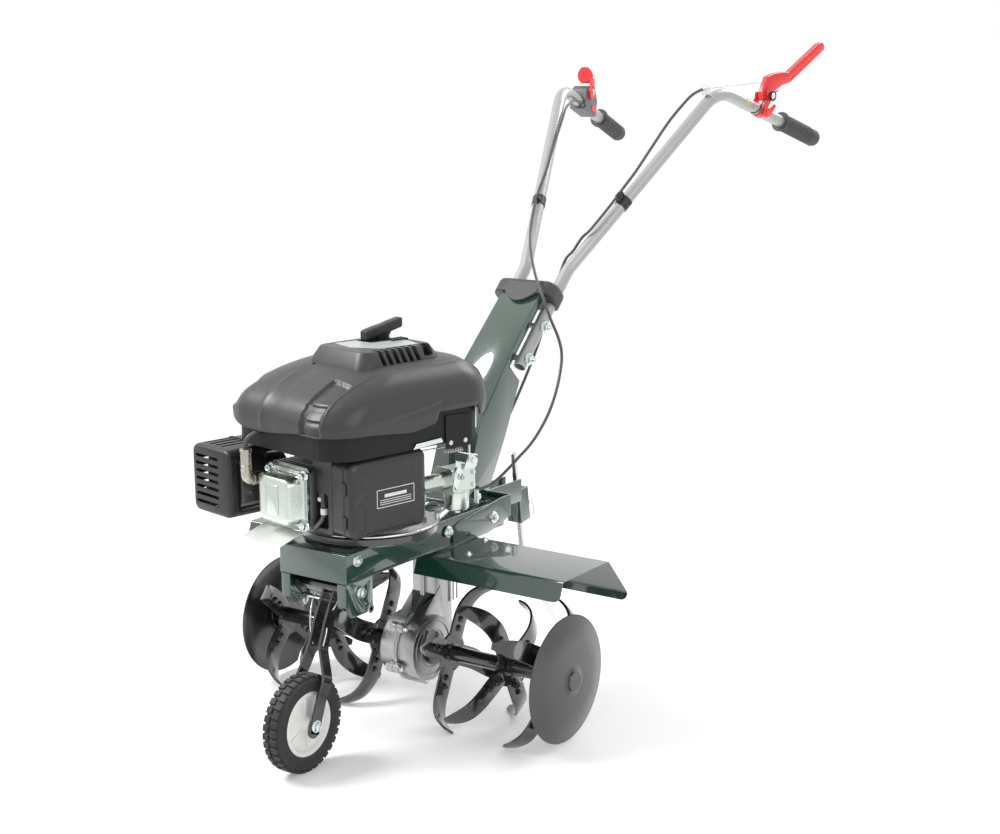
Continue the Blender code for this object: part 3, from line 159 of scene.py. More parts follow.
def filleted(corners, radii, steps=10):
    """Polyline whose inner corners are replaced by arcs."""
    path = [Vector(corners[0])]
    for before, corner, after, radius in zip(corners, corners[1:], corners[2:], radii):
        corner = Vector(corner)
        a = (Vector(before) - corner).normalized()
        b = (Vector(after) - corner).normalized()
        half = a.angle(b) / 2
        centre = corner + (a + b).normalized() * (radius / math.sin(half))
        start = corner + a * (radius / math.tan(half)) - centre
        end = corner + b * (radius / math.tan(half)) - centre
        total = start.angle(end)
        for i in range(steps + 1):
            t = i / steps
            arc = start * math.sin((1 - t) * total) + end * math.sin(t * total)
            path.append(centre + arc / math.sin(total))
    path.append(Vector(corners[-1]))
    return path


def smooth_route(points, spacing):
    """Evenly spaced points on a Catmull-Rom curve through the given points."""
    pts = [Vector(p) for p in points]
    pts = [2 * pts[0] - pts[1]] + pts + [2 * pts[-1] - pts[-2]]
    dense = []
    for p0, p1, p2, p3 in zip(pts, pts[1:], pts[2:], pts[3:]):
        for i in range(24):
            t = i / 24
            dense.append(0.5 * (2 * p1 + (p2 - p0) * t + (2 * p0 - 5 * p1 + 4 * p2 - p3) * t ** 2
                                + (3 * p1 - p0 - 3 * p2 + p3) * t ** 3))
    dense.append(pts[-2])
    length = sum((b - a).length for a, b in zip(dense, dense[1:]))
    count = max(2, round(length / spacing))
    step = length / count
    route = [dense[0]]
    run = 0.0
    for a, b in zip(dense, dense[1:]):
        part = (b - a).length
        while run + part >= step * len(route) and len(route) < count:
            route.append(a.lerp(b, (step * len(route) - run) / part))
        run += part
    return route + [dense[-1]]


def tube_rings(path, radius, sides):
    """Rings of a round section carried along a path without twisting."""
    rings = []
    tangent = (path[1] - path[0]).normalized()
    side = tangent.orthogonal().normalized()
    for i, point in enumerate(path):
        before = path[max(i - 1, 0)]
        after = path[min(i + 1, len(path) - 1)]
        new = (after - before).normalized()
        side = (tangent.rotation_difference(new) @ side).normalized()
        tangent = new
        up = tangent.cross(side)
        rings.append([point + radius * (side * math.cos(a) + up * math.sin(a))
                      for a in (math.tau * k / sides for k in range(sides))])
    return rings


def bar(path, radius, sides=16):
    return skin(tube_rings([Vector(p) for p in path], radius, sides))


def wire(points, radius, sides=10, spacing=0.002):
    """Round wire bent smoothly through a few points."""
    return bar(smooth_route(points, spacing), radius, sides)


def ribbon(stations):
    """Flat bar through stations of (centre, half width vector, half thickness vector)."""
    return skin([[c - w - t, c + w - t, c + w + t, c - w + t] for c, w, t in stations])


def gather(*parts):
    """Put several shells into one mesh."""
    whole = bmesh.new()
    for part in parts:
        mesh = bpy.data.meshes.new("part")
        part.to_mesh(mesh)
        part.free()
        whole.from_mesh(mesh)
        bpy.data.meshes.remove(mesh)
    return whole


def mirrored(bm):
    """Copy across the machine's middle plane."""
    bmesh.ops.scale(bm, vec=(-1, 1, 1), verts=bm.verts)
    bmesh.ops.reverse_faces(bm, faces=bm.faces)
    return bm


def mesh_object(name, bm):
    mesh = bpy.data.meshes.new(name)
    bm.to_mesh(mesh)
    bm.free()
    obj = bpy.data.objects.new(name, mesh)
    bpy.context.scene.collection.objects.link(obj)
    return obj


def settle(obj):
    """Apply every modifier, so that only the plain mesh is left."""
    bpy.context.view_layer.update()
    result = obj.evaluated_get(bpy.context.evaluated_depsgraph_get())
    mesh = bpy.data.meshes.new_from_object(result)
    old = obj.data
    obj.modifiers.clear()
    obj.data = mesh
    mesh.name = obj.name
    bpy.data.meshes.remove(old)
    return obj


def cut(base, tools):
    """Take the tool shells out of the base."""
    obj = mesh_object("base", base)
    cutter = mesh_object("tool", tools)
    modifier = obj.modifiers.new("Cut", "BOOLEAN")
    modifier.operation = "DIFFERENCE"
    modifier.solver = "EXACT"
    modifier.object = cutter
    settle(obj)
    result = bmesh.new()
    result.from_mesh(obj.data)
    for used in (obj, cutter):
        data = used.data
        bpy.data.objects.remove(used, do_unlink=True)
        bpy.data.meshes.remove(data)
    bmesh.ops.remove_doubles(result, verts=result.verts, dist=1e-6)
    return result


def finish(name, bm, material, body, nodes=(), place=MACHINE, edge=0.0,
           sharp=38.0, wall=0.0, smooth=0, reach=None):
    """Turn a shell into a finished piece on its body; with a reach it is baked in place and put on no
    body.
    """
    bmesh.ops.transform(bm, matrix=place, verts=bm.verts)
    obj = mesh_object(name, bm)
    obj.data.materials.append(material)
    obj.data.shade_smooth()
    if wall:
        thick = obj.modifiers.new("Wall", "SOLIDIFY")
        thick.thickness = wall
        thick.offset = -1.0
    if edge:
        bevel = obj.modifiers.new("Edges", "BEVEL")
        bevel.width = edge
        bevel.segments = 2
        bevel.limit_method = "ANGLE"
        bevel.angle_limit = math.radians(32)
        bevel.use_clamp_overlap = False
        bevel.harden_normals = True
    if smooth:
        soft = obj.modifiers.new("Smooth", "SUBSURF")
        soft.levels = smooth
        soft.render_levels = smooth
    if wall or edge or smooth:
        settle(obj)
    if not edge:
        obj.data.set_sharp_from_angle(angle=math.radians(sharp))
    if reach:
        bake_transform(obj)
    else:
        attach(obj, body)
    if nodes:
        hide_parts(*nodes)
    return obj


def refined(node, material, body, edge=0.0007, name=None):
    """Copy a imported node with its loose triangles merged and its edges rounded."""
    bm = bmesh.new()
    bm.from_mesh(NODES[node].data)
    bmesh.ops.remove_doubles(bm, verts=bm.verts, dist=2e-6)
    bmesh.ops.dissolve_limit(bm, angle_limit=math.radians(1.0), verts=bm.verts, edges=bm.edges)
    bmesh.ops.recalc_face_normals(bm, faces=bm.faces)
    return finish(name or node + "_body", bm, material, body, (node,), Matrix(), edge)


def clothe(material, *nodes):
    """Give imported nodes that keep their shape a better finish."""
    for node in nodes:
        NODES[node].data.materials.clear()
        NODES[node].data.materials.append(material)


# ---- node trees that repeat a part -----------------------------------------------------------
def new_tree(name, sockets):
    """Geometry node tree with its inputs; the last nodes realise and take a material."""
    tree = bpy.data.node_groups.new(name, "GeometryNodeTree")
    tree.interface.new_socket("Geometry", in_out="OUTPUT", socket_type="NodeSocketGeometry")
    tree.interface.new_socket("Geometry", in_out="INPUT", socket_type="NodeSocketGeometry")
    for label, kind in sockets:
        tree.interface.new_socket(label, in_out="INPUT", socket_type=kind)
    tree.interface.new_socket("Finish", in_out="INPUT", socket_type="NodeSocketMaterial")
    start = tree.nodes.new("NodeGroupInput")
    realise = tree.nodes.new("GeometryNodeRealizeInstances")
    finish_node = tree.nodes.new("GeometryNodeSetMaterial")
    end = tree.nodes.new("NodeGroupOutput")
    tree.links.new(realise.outputs[0], finish_node.inputs["Geometry"])
    tree.links.new(start.outputs["Finish"], finish_node.inputs["Material"])
    tree.links.new(finish_node.outputs[0], end.inputs[0])
    return tree, start, realise


def row_tree():
    """Repeats its part along a straight step."""
    tree, start, realise = new_tree("Part Row", (("Count", "NodeSocketInt"),
                                                 ("Step", "NodeSocketVector")))
    line = tree.nodes.new("GeometryNodeMeshLine")
    line.mode = "OFFSET"
    copies = tree.nodes.new("GeometryNodeInstanceOnPoints")
    tree.links.new(start.outputs["Count"], line.inputs["Count"])
    tree.links.new(start.outputs["Step"], line.inputs["Offset"])
    tree.links.new(line.outputs[0], copies.inputs["Points"])
    tree.links.new(start.outputs["Geometry"], copies.inputs["Instance"])
    tree.links.new(copies.outputs[0], realise.inputs[0])
    return tree


def round_tree():
    """Repeats its part around an axis through the centre."""
    tree, start, realise = new_tree("Part Ring", (("Count", "NodeSocketInt"),
                                                  ("Axis", "NodeSocketVector"),
                                                  ("Centre", "NodeSocketVector"),
                                                  ("Start", "NodeSocketFloat")))
    line = tree.nodes.new("GeometryNodeMeshLine")
    line.mode = "OFFSET"
    line.inputs["Offset"].default_value = (0, 0, 0)
    index = tree.nodes.new("GeometryNodeInputIndex")
    share = tree.nodes.new("ShaderNodeMath")
    share.operation = "DIVIDE"
    share.inputs[0].default_value = math.tau
    angle = tree.nodes.new("ShaderNodeMath")
    angle.operation = "MULTIPLY_ADD"
    turn = tree.nodes.new("FunctionNodeAxisAngleToRotation")
    copies = tree.nodes.new("GeometryNodeInstanceOnPoints")
    shift = tree.nodes.new("GeometryNodeTransform")
    link = tree.links.new
    link(start.outputs["Count"], line.inputs["Count"])
    link(start.outputs["Count"], share.inputs[1])
    link(index.outputs[0], angle.inputs[0])
    link(share.outputs[0], angle.inputs[1])
    link(start.outputs["Start"], angle.inputs[2])
    link(start.outputs["Axis"], turn.inputs["Axis"])
    link(angle.outputs[0], turn.inputs["Angle"])
    link(line.outputs[0], copies.inputs["Points"])
    link(start.outputs["Geometry"], copies.inputs["Instance"])
    link(turn.outputs[0], copies.inputs["Rotation"])
    link(copies.outputs[0], shift.inputs["Geometry"])
    link(start.outputs["Centre"], shift.inputs["Translation"])
    link(shift.outputs[0], realise.inputs[0])
    return tree


def bolt_tree():
    """Hexagon bolt with its washer on every point, standing along the facing attribute."""
    tree, start, realise = new_tree("Hexagon Bolts", (("Head Radius", "NodeSocketFloat"),
                                                      ("Head Height", "NodeSocketFloat"),
                                                      ("Washer Radius", "NodeSocketFloat"),
                                                      ("Washer Height", "NodeSocketFloat")))
    link = tree.links.new

    def scaled(socket, factor):
        node = tree.nodes.new("ShaderNodeMath")
        node.operation = "MULTIPLY"
        link(socket, node.inputs[0])
        node.inputs[1].default_value = factor
        return node.outputs[0]

    def added(a, b):
        node = tree.nodes.new("ShaderNodeMath")
        link(a, node.inputs[0])
        link(b, node.inputs[1])
        return node.outputs[0]

    def cone(sides, low, high, depth, lift):
        node = tree.nodes.new("GeometryNodeMeshCone")
        node.inputs["Vertices"].default_value = sides
        link(high, node.inputs["Radius Top"])
        link(low, node.inputs["Radius Bottom"])
        link(depth, node.inputs["Depth"])
        place = tree.nodes.new("ShaderNodeCombineXYZ")
        link(lift, place.inputs["Z"])
        move = tree.nodes.new("GeometryNodeTransform")
        link(node.outputs[0], move.inputs["Geometry"])
        link(place.outputs[0], move.inputs["Translation"])
        return move.outputs[0]

    head = start.outputs["Head Radius"]
    height = start.outputs["Head Height"]
    washer = start.outputs["Washer Radius"]
    sheet = start.outputs["Washer Height"]
    straight = scaled(height, 0.75)
    chamfer = scaled(height, 0.25)
    whole = tree.nodes.new("GeometryNodeJoinGeometry")
    zero = scaled(sheet, 0.0)
    shapes = (cone(28, washer, scaled(washer, 0.94), sheet, zero),
              cone(6, head, head, straight, sheet),
              cone(6, head, scaled(head, 0.84), chamfer, added(sheet, straight)),
              cone(18, scaled(head, 0.56), scaled(head, 0.50), chamfer, added(sheet, height)))
    for shape in shapes:
        link(shape, whole.inputs[0])
    facing = tree.nodes.new("GeometryNodeInputNamedAttribute")
    facing.data_type = "FLOAT_VECTOR"
    facing.inputs["Name"].default_value = "facing"
    aim = tree.nodes.new("FunctionNodeAlignRotationToVector")
    aim.axis = "Z"
    copies = tree.nodes.new("GeometryNodeInstanceOnPoints")
    link(facing.outputs["Attribute"], aim.inputs["Vector"])
    link(start.outputs["Geometry"], copies.inputs["Points"])
    link(whole.outputs[0], copies.inputs["Instance"])
    link(aim.outputs[0], copies.inputs["Rotation"])
    link(copies.outputs[0], realise.inputs[0])
    return tree


TREES = {}


def tree_for(kind):
    if kind not in TREES:
        TREES[kind] = {"row": row_tree, "ring": round_tree, "bolts": bolt_tree}[kind]()
    return TREES[kind]


def repeated(name, bm, kind, values, material, body, place=MACHINE, sharp=38.0,
             nodes=()):
    """Run a part through one of the node trees and keep the plain mesh."""
    obj = mesh_object(name, bm)
    modifier = obj.modifiers.new("Repeat", "NODES")
    modifier.node_group = tree_for(kind)
    sockets = {item.name: item.identifier for item in modifier.node_group.interface.items_tree
               if item.in_out == "INPUT"}
    for label, value in values.items():
        modifier[sockets[label]] = value
    modifier[sockets["Finish"]] = material
    settle(obj)
    obj.data.transform(place)
    if not obj.data.materials:
        obj.data.materials.append(material)
    obj.data.shade_smooth()
    obj.data.set_sharp_from_angle(angle=math.radians(sharp))
    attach(obj, body)
    if nodes:
        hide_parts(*nodes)
    return obj


def bolts(name, spots, material, body, head=0.0065, height=0.0050, washer=0.0090, sheet=0.0014,
          place=MACHINE):
    """Bolts at (place, facing) spots."""
    bm = bmesh.new()
    layer = bm.verts.layers.float_vector.new("facing")
    for spot, facing in spots:
        vert = bm.verts.new(spot)
        vert[layer] = Vector(facing)
    values = {"Head Radius": head, "Head Height": height, "Washer Radius": washer,
              "Washer Height": sheet}
    return repeated(name, bm, "bolts", values, material, body, place, 28.0)




# ---- shader groups and finishes --------------------------------------------------------------
def shader_group(name, inputs, outputs):
    tree = bpy.data.node_groups.new(name, "ShaderNodeTree")
    for label, kind, value in inputs:
        socket = tree.interface.new_socket(label, in_out="INPUT", socket_type=kind)
        if value is not None:
            socket.default_value = value
    for label, kind in outputs:
        tree.interface.new_socket(label, in_out="OUTPUT", socket_type=kind)
    return tree, tree.nodes.new("NodeGroupInput"), tree.nodes.new("NodeGroupOutput")


def noise(tree, vector, scale, detail, rough=0.55):
    node = tree.nodes.new("ShaderNodeTexNoise")
    node.inputs["Detail"].default_value = detail
    node.inputs["Roughness"].default_value = rough
    tree.links.new(vector, node.inputs["Vector"])
    if isinstance(scale, (int, float)):
        node.inputs["Scale"].default_value = scale
    else:
        tree.links.new(scale, node.inputs["Scale"])
    return node.outputs["Fac"]


def maths(tree, operation, a, b=None, c=None, clamp=False):
    node = tree.nodes.new("ShaderNodeMath")
    node.operation = operation
    node.use_clamp = clamp
    for socket, value in zip(node.inputs, (a, b, c)):
        if value is None:
            continue
        if isinstance(value, (int, float)):
            socket.default_value = value
        else:
            tree.links.new(value, socket)
    return node.outputs[0]


def patches_group():
    """Slow drift of tone and gloss over a part, and a few soft handling marks."""
    tree, start, end = shader_group(
        "Patches", (("Vector", "NodeSocketVector", None), ("Scale", "NodeSocketFloat", 14.0)),
        (("Tone", "NodeSocketFloat"), ("Marks", "NodeSocketFloat")))
    slow = noise(tree, start.outputs["Vector"], start.outputs["Scale"], 3.0)
    quick = noise(tree, start.outputs["Vector"],
                  maths(tree, "MULTIPLY", start.outputs["Scale"], 6.0), 5.0, 0.65)
    marks = maths(tree, "MULTIPLY", maths(tree, "SUBTRACT", quick, 0.52), 7.0, clamp=True)
    tree.links.new(slow, end.inputs["Tone"])
    tree.links.new(marks, end.inputs["Marks"])
    return tree


def grain_group():
    """Moulded or cast skin: pits and pebbles as a height."""
    tree, start, end = shader_group(
        "Grain", (("Vector", "NodeSocketVector", None), ("Scale", "NodeSocketFloat", 900.0),
                  ("Pebble", "NodeSocketFloat", 0.5)),
        (("Height", "NodeSocketFloat"), ("Pits", "NodeSocketFloat")))
    cells = tree.nodes.new("ShaderNodeTexVoronoi")
    cells.feature = "SMOOTH_F1"
    tree.links.new(start.outputs["Vector"], cells.inputs["Vector"])
    tree.links.new(start.outputs["Scale"], cells.inputs["Scale"])
    fine = noise(tree, start.outputs["Vector"], start.outputs["Scale"], 4.0)
    pebbles = maths(tree, "MULTIPLY", cells.outputs["Distance"], start.outputs["Pebble"])
    height = maths(tree, "ADD", pebbles, fine)
    pits = maths(tree, "GREATER_THAN", fine, 0.66)
    tree.links.new(height, end.inputs["Height"])
    tree.links.new(pits, end.inputs["Pits"])
    return tree


def lines_group():
    """Fine drawn or machined lines along one axis."""
    tree, start, end = shader_group(
        "Drawn Lines", (("Vector", "NodeSocketVector", None),
                        ("Stretch", "NodeSocketVector", (60.0, 4000.0, 4000.0))),
        (("Height", "NodeSocketFloat"),))
    scale = tree.nodes.new("ShaderNodeVectorMath")
    scale.operation = "MULTIPLY"
    tree.links.new(start.outputs["Vector"], scale.inputs[0])
    tree.links.new(start.outputs["Stretch"], scale.inputs[1])
    tree.links.new(noise(tree, scale.outputs[0], 1.0, 3.0), end.inputs["Height"])
    return tree


def dust_group():
    """Thin dust that settles on surfaces facing up."""
    tree, start, end = shader_group(
        "Settled Dust", (("Vector", "NodeSocketVector", None), ("Amount", "NodeSocketFloat", 0.1)),
        (("Mask", "NodeSocketFloat"),))
    around = tree.nodes.new("ShaderNodeNewGeometry")
    split = tree.nodes.new("ShaderNodeSeparateXYZ")
    tree.links.new(around.outputs["Normal"], split.inputs[0])
    up = maths(tree, "MULTIPLY", maths(tree, "SUBTRACT", split.outputs["Z"], 0.3), 1.4, clamp=True)
    cloud = noise(tree, start.outputs["Vector"], 55.0, 6.0, 0.7)
    mask = maths(tree, "MULTIPLY", maths(tree, "MULTIPLY", up, cloud), start.outputs["Amount"])
    tree.links.new(mask, end.inputs["Mask"])
    return tree


GROUPS = {}
GROUP_MAKERS = {"Patches": patches_group, "Grain": grain_group, "Drawn Lines": lines_group,
                "Settled Dust": dust_group}


def effect(tree, kind, vector, **values):
    """Place a shared effect in a material with its own values."""
    if kind not in GROUPS:
        GROUPS[kind] = GROUP_MAKERS[kind]()
    node = tree.nodes.new("ShaderNodeGroup")
    node.node_tree = GROUPS[kind]
    tree.links.new(vector, node.inputs["Vector"])
    for label, value in values.items():
        node.inputs[label].default_value = value
    return node


def finish_for(name, colour, rough, spread=0.06, tone=0.08, metal=0.0, coat=0.0, grain=900.0,
               depth=0.00003, pebble=0.5, lines=None, dust=0.06, patch=14.0, coat_rough=0.05,
               flecks=0.0, specular=0.5):
    """Procedural finish: tone drift, handling marks, dust, and grain or drawn lines as bump."""
    mat = bpy.data.materials.new(name)
    mat.use_nodes = True
    mat.diffuse_color = (*colour, 1.0)
    tree = mat.node_tree
    shader = tree.nodes["Principled BSDF"]
    place = tree.nodes.new("ShaderNodeTexCoord").outputs["Object"]
    patches = effect(tree, "Patches", place, Scale=patch)
    settled = effect(tree, "Settled Dust", place, Amount=dust)
    darker = [c * (1.0 - tone) for c in colour]
    lighter = [min(c * (1.0 + tone) + 0.002, 1.0) for c in colour]
    drift = tree.nodes.new("ShaderNodeMix")
    drift.data_type = "RGBA"
    tree.links.new(patches.outputs["Tone"], drift.inputs["Factor"])
    drift.inputs["A"].default_value = (*darker, 1.0)
    drift.inputs["B"].default_value = (*lighter, 1.0)
    if lines:
        skin_effect = effect(tree, "Drawn Lines", place, Stretch=lines)
    else:
        skin_effect = effect(tree, "Grain", place, Scale=grain, Pebble=pebble)
    result = drift.outputs["Result"]
    if flecks and not lines:
        fleck = tree.nodes.new("ShaderNodeMix")
        fleck.data_type = "RGBA"
        tree.links.new(maths(tree, "MULTIPLY", skin_effect.outputs["Pits"], flecks),
                       fleck.inputs["Factor"])
        tree.links.new(result, fleck.inputs["A"])
        fleck.inputs["B"].default_value = (*[c * 0.45 for c in colour], 1.0)
        result = fleck.outputs["Result"]
    dusty = tree.nodes.new("ShaderNodeMix")
    dusty.data_type = "RGBA"
    tree.links.new(settled.outputs["Mask"], dusty.inputs["Factor"])
    tree.links.new(result, dusty.inputs["A"])
    dusty.inputs["B"].default_value = (0.42, 0.40, 0.37, 1.0)
    tree.links.new(dusty.outputs["Result"], shader.inputs["Base Color"])
    gloss = maths(tree, "MULTIPLY_ADD", patches.outputs["Marks"], spread, rough)
    gloss = maths(tree, "ADD", gloss, maths(tree, "MULTIPLY", settled.outputs["Mask"], 0.5),
                  clamp=True)
    tree.links.new(gloss, shader.inputs["Roughness"])
    bump = tree.nodes.new("ShaderNodeBump")
    bump.inputs["Strength"].default_value = 1.0
    bump.inputs["Distance"].default_value = depth
    tree.links.new(skin_effect.outputs["Height"], bump.inputs["Height"])
    tree.links.new(bump.outputs["Normal"], shader.inputs["Normal"])
    shader.inputs["Metallic"].default_value = metal
    shader.inputs["Coat Weight"].default_value = coat
    shader.inputs["Coat Roughness"].default_value = coat_rough
    shader.inputs["Coat IOR"].default_value = 1.72
    shader.inputs["Specular IOR Level"].default_value = specular
    return mat


FINISHES = {}


def finish_named(key):
    """Look up a finish of the machine, making it the first time it is asked for."""
    if key not in FINISHES:
        colours = bpy.context.scene.cultivator_colours
        green = tuple(colours.enamel)
        red = tuple(colours.levers)
        grey = tuple(colours.tubes)
        cover = tuple(colours.cover)
        makers = {
            "green_enamel": lambda: finish_for(
                "Green Enamel", green, 0.20, 0.05, 0.10, coat=1.0, grain=220.0, depth=0.000012,
                coat_rough=0.03, dust=0.05),
            "black_enamel": lambda: finish_for(
                "Black Enamel", (0.010, 0.010, 0.011), 0.22, 0.10, 0.2, coat=0.8, grain=260.0,
                depth=0.00002, dust=0.05, coat_rough=0.06),
            "dark_enamel": lambda: finish_for(
                "Disc Enamel", (0.017, 0.017, 0.0175), 0.30, 0.08, 0.1, coat=0.45, grain=320.0,
                depth=0.00002, dust=0.06, coat_rough=0.16),
            "cover_plastic": lambda: finish_for(
                "Cover Plastic", cover, 0.37, 0.06, 0.05, grain=1500.0, depth=0.00005,
                pebble=0.9, dust=0.07),
            "black_plastic": lambda: finish_for(
                "Black Plastic", (0.012, 0.0122, 0.013), 0.38, 0.07, 0.08, grain=1300.0,
                depth=0.00004, pebble=0.8, dust=0.05),
            "filter_plastic": lambda: finish_for(
                "Filter Plastic", (0.021, 0.0215, 0.023), 0.32, 0.07, 0.08, grain=1400.0,
                depth=0.00004, pebble=0.7, dust=0.06),
            "grey_plastic": lambda: finish_for(
                "Grey Plastic", (0.115, 0.118, 0.122), 0.45, 0.06, 0.06, grain=1300.0,
                depth=0.00004, pebble=0.8, dust=0.04),
            "cap_plastic": lambda: finish_for(
                "Cap Plastic", (0.040, 0.042, 0.046), 0.42, 0.06, 0.08, grain=1300.0,
                depth=0.00004, pebble=0.8, dust=0.06),
            "cast_alloy": lambda: finish_for(
                "Cast Alloy", (0.43, 0.435, 0.43), 0.33, 0.16, 0.12, metal=1.0, grain=420.0,
                depth=0.00016, pebble=0.5, dust=0.06, flecks=0.5),
            "bright_cover": lambda: finish_for(
                "Bright Head Cover", (0.60, 0.655, 0.61), 0.27, 0.10, 0.06, metal=1.0, grain=240.0,
                depth=0.00012, pebble=0.4, dust=0.02),
            "zinc": lambda: finish_for(
                "Zinc Plate", (0.74, 0.78, 0.79), 0.22, 0.16, 0.10, metal=1.0, grain=700.0,
                depth=0.00002, dust=0.02, patch=60.0),
            "bright_steel": lambda: finish_for(
                "Drawn Steel", (0.66, 0.67, 0.67), 0.24, 0.10, 0.08, metal=1.0,
                lines=(3000.0, 3000.0, 60.0), depth=0.000015, dust=0.02),
            "cast_iron": lambda: finish_for(
                "Cast Iron", (0.20, 0.20, 0.20), 0.55, 0.12, 0.15, metal=1.0, grain=500.0,
                depth=0.0001, flecks=0.4),
            "powder_coat": lambda: finish_for(
                "Powder Coat", grey, 0.36, 0.05, 0.05, metal=0.35, grain=900.0, depth=0.00005,
                pebble=0.8, dust=0.03, coat=0.3, coat_rough=0.2),
            "grip_rubber": lambda: finish_for(
                "Grip Rubber", (0.075, 0.077, 0.080), 0.62, 0.08, 0.08, grain=1800.0,
                depth=0.00006, pebble=1.0, dust=0.05, specular=0.35),
            "cable_sheath": lambda: finish_for(
                "Cable Sheath", (0.060, 0.061, 0.063), 0.40, 0.05, 0.06, grain=2400.0,
                depth=0.00002, dust=0.02),
            "tyre_rubber": lambda: finish_for(
                "Tyre Rubber", (0.019, 0.0193, 0.020), 0.58, 0.12, 0.15, grain=900.0,
                depth=0.00010, pebble=0.8, dust=0.25, specular=0.4),
            "white_plastic": lambda: finish_for(
                "White Plastic", (0.80, 0.80, 0.78), 0.38, 0.06, 0.03, grain=1100.0,
                depth=0.00003, dust=0.10),
            "red_plastic": lambda: finish_for(
                "Red Plastic", red, 0.30, 0.06, 0.06, grain=1300.0, depth=0.00002, dust=0.02,
                coat=0.2, coat_rough=0.15),
            "bronze": lambda: finish_for(
                "Bronze", (0.62, 0.42, 0.17), 0.30, 0.10, 0.10, metal=1.0,
                lines=(60.0, 3000.0, 3000.0), depth=0.00002),
            "foam": lambda: finish_for(
                "Filter Foam", (0.62, 0.50, 0.16), 0.9, 0.05, 0.15, grain=1200.0, depth=0.0006,
                pebble=1.0, flecks=0.8),
            "tank_plastic": lambda: finish_for(
                "Tank Plastic", (0.62, 0.63, 0.62), 0.40, 0.06, 0.04, grain=900.0,
                depth=0.00003, dust=0.03),
            "decal": lambda: finish_for(
                "Plain Decal", (0.42, 0.46, 0.44), 0.30, 0.05, 0.05, grain=900.0, depth=0.000008,
                dust=0.02),
            "label_print": lambda: finish_for(
                "Label Print", (0.72, 0.73, 0.72), 0.42, 0.05, 0.03, grain=1200.0,
                depth=0.00001, dust=0.0),
            "yellow_line": lambda: finish_for(
                "Yellow Marker", (0.72, 0.50, 0.03), 0.40, 0.05, 0.05, grain=1200.0,
                depth=0.00001, dust=0.0),
            "spring_black": lambda: finish_for(
                "Black Spring Wire", (0.03, 0.03, 0.032), 0.30, 0.08, 0.1, metal=0.8,
                grain=900.0, depth=0.00001, dust=0.0),
            # Near-black plastic, darker than the black plastic: painted shade under the engine cover's
            # skirt.
            "shroud_painted_shade": lambda: finish_for(
                "Shroud Plastic Painted Shade", (0.0045, 0.0046, 0.005), 0.50, 0.07, 0.08, grain=1300.0,
                depth=0.00004, pebble=0.8, dust=0.02, specular=0.3),
            "heat_plate": lambda: finish_for(
                "Pressed Heat Plate", (0.74, 0.77, 0.72), 0.42, 0.10, 0.05, metal=0.35,
                grain=500.0, depth=0.00004, dust=0.03),
            "boot_alloy": lambda: finish_for(
                "Boot Shell", (0.44, 0.42, 0.36), 0.26, 0.12, 0.10, metal=1.0, grain=500.0,
                depth=0.00003, dust=0.02),
        }
        FINISHES[key] = makers[key]()
    return FINISHES[key]


# ---- settings a user would change ------------------------------------------------------------
class CultivatorColours(bpy.types.PropertyGroup):
    """Colours of the painted and moulded parts."""
    enamel: FloatVectorProperty(
        name="Enamel", description="Colour of the pressed steel frame and fenders",
        subtype="COLOR", size=3, min=0.0, max=1.0, default=(0.0085, 0.046, 0.028))
    levers: FloatVectorProperty(
        name="Levers", description="Colour of the clutch and throttle levers",
        subtype="COLOR", size=3, min=0.0, max=1.0, default=(0.78, 0.022, 0.024))
    tubes: FloatVectorProperty(
        name="Tubes", description="Colour of the handle tubes' powder coat",
        subtype="COLOR", size=3, min=0.0, max=1.0, default=(0.40, 0.41, 0.395))
    cover: FloatVectorProperty(
        name="Engine Cover", description="Colour of the moulded engine cover",
        subtype="COLOR", size=3, min=0.0, max=1.0, default=(0.030, 0.0305, 0.0325))


class CultivatorSizes(bpy.types.PropertyGroup):
    """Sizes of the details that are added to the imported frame."""
    tyre_lugs: IntProperty(
        name="Tyre Lugs", description="Lugs in each row around the tyre", min=8, max=60,
        default=34)
    guard_slot: FloatProperty(
        name="Guard Slot", description="Height of a slot in the silencer guard",
        unit="LENGTH", min=0.002, max=0.01, default=0.0052)
    grip_rib: FloatProperty(
        name="Grip Rib", description="Height of a rib on the grips", unit="LENGTH",
        min=0.0003, max=0.003, default=0.0012)
    washer: FloatProperty(
        name="Frame Washer", description="Radius of the washers on the frame bolts",
        unit="LENGTH", min=0.006, max=0.014, default=0.0098)
    cover_relief: FloatProperty(
        name="Cover Relief", description="Depth of the engine cover's recess and pillow",
        unit="LENGTH", min=0.001, max=0.008, default=0.0048)
    key_light: FloatProperty(
        name="Key Light", description="Power of the main studio light", unit="POWER",
        min=0.0, default=118.0)


def smoothstep(low, high, value):
    t = min(max((value - low) / (high - low), 0.0), 1.0)
    return t * t * (3.0 - 2.0 * t)


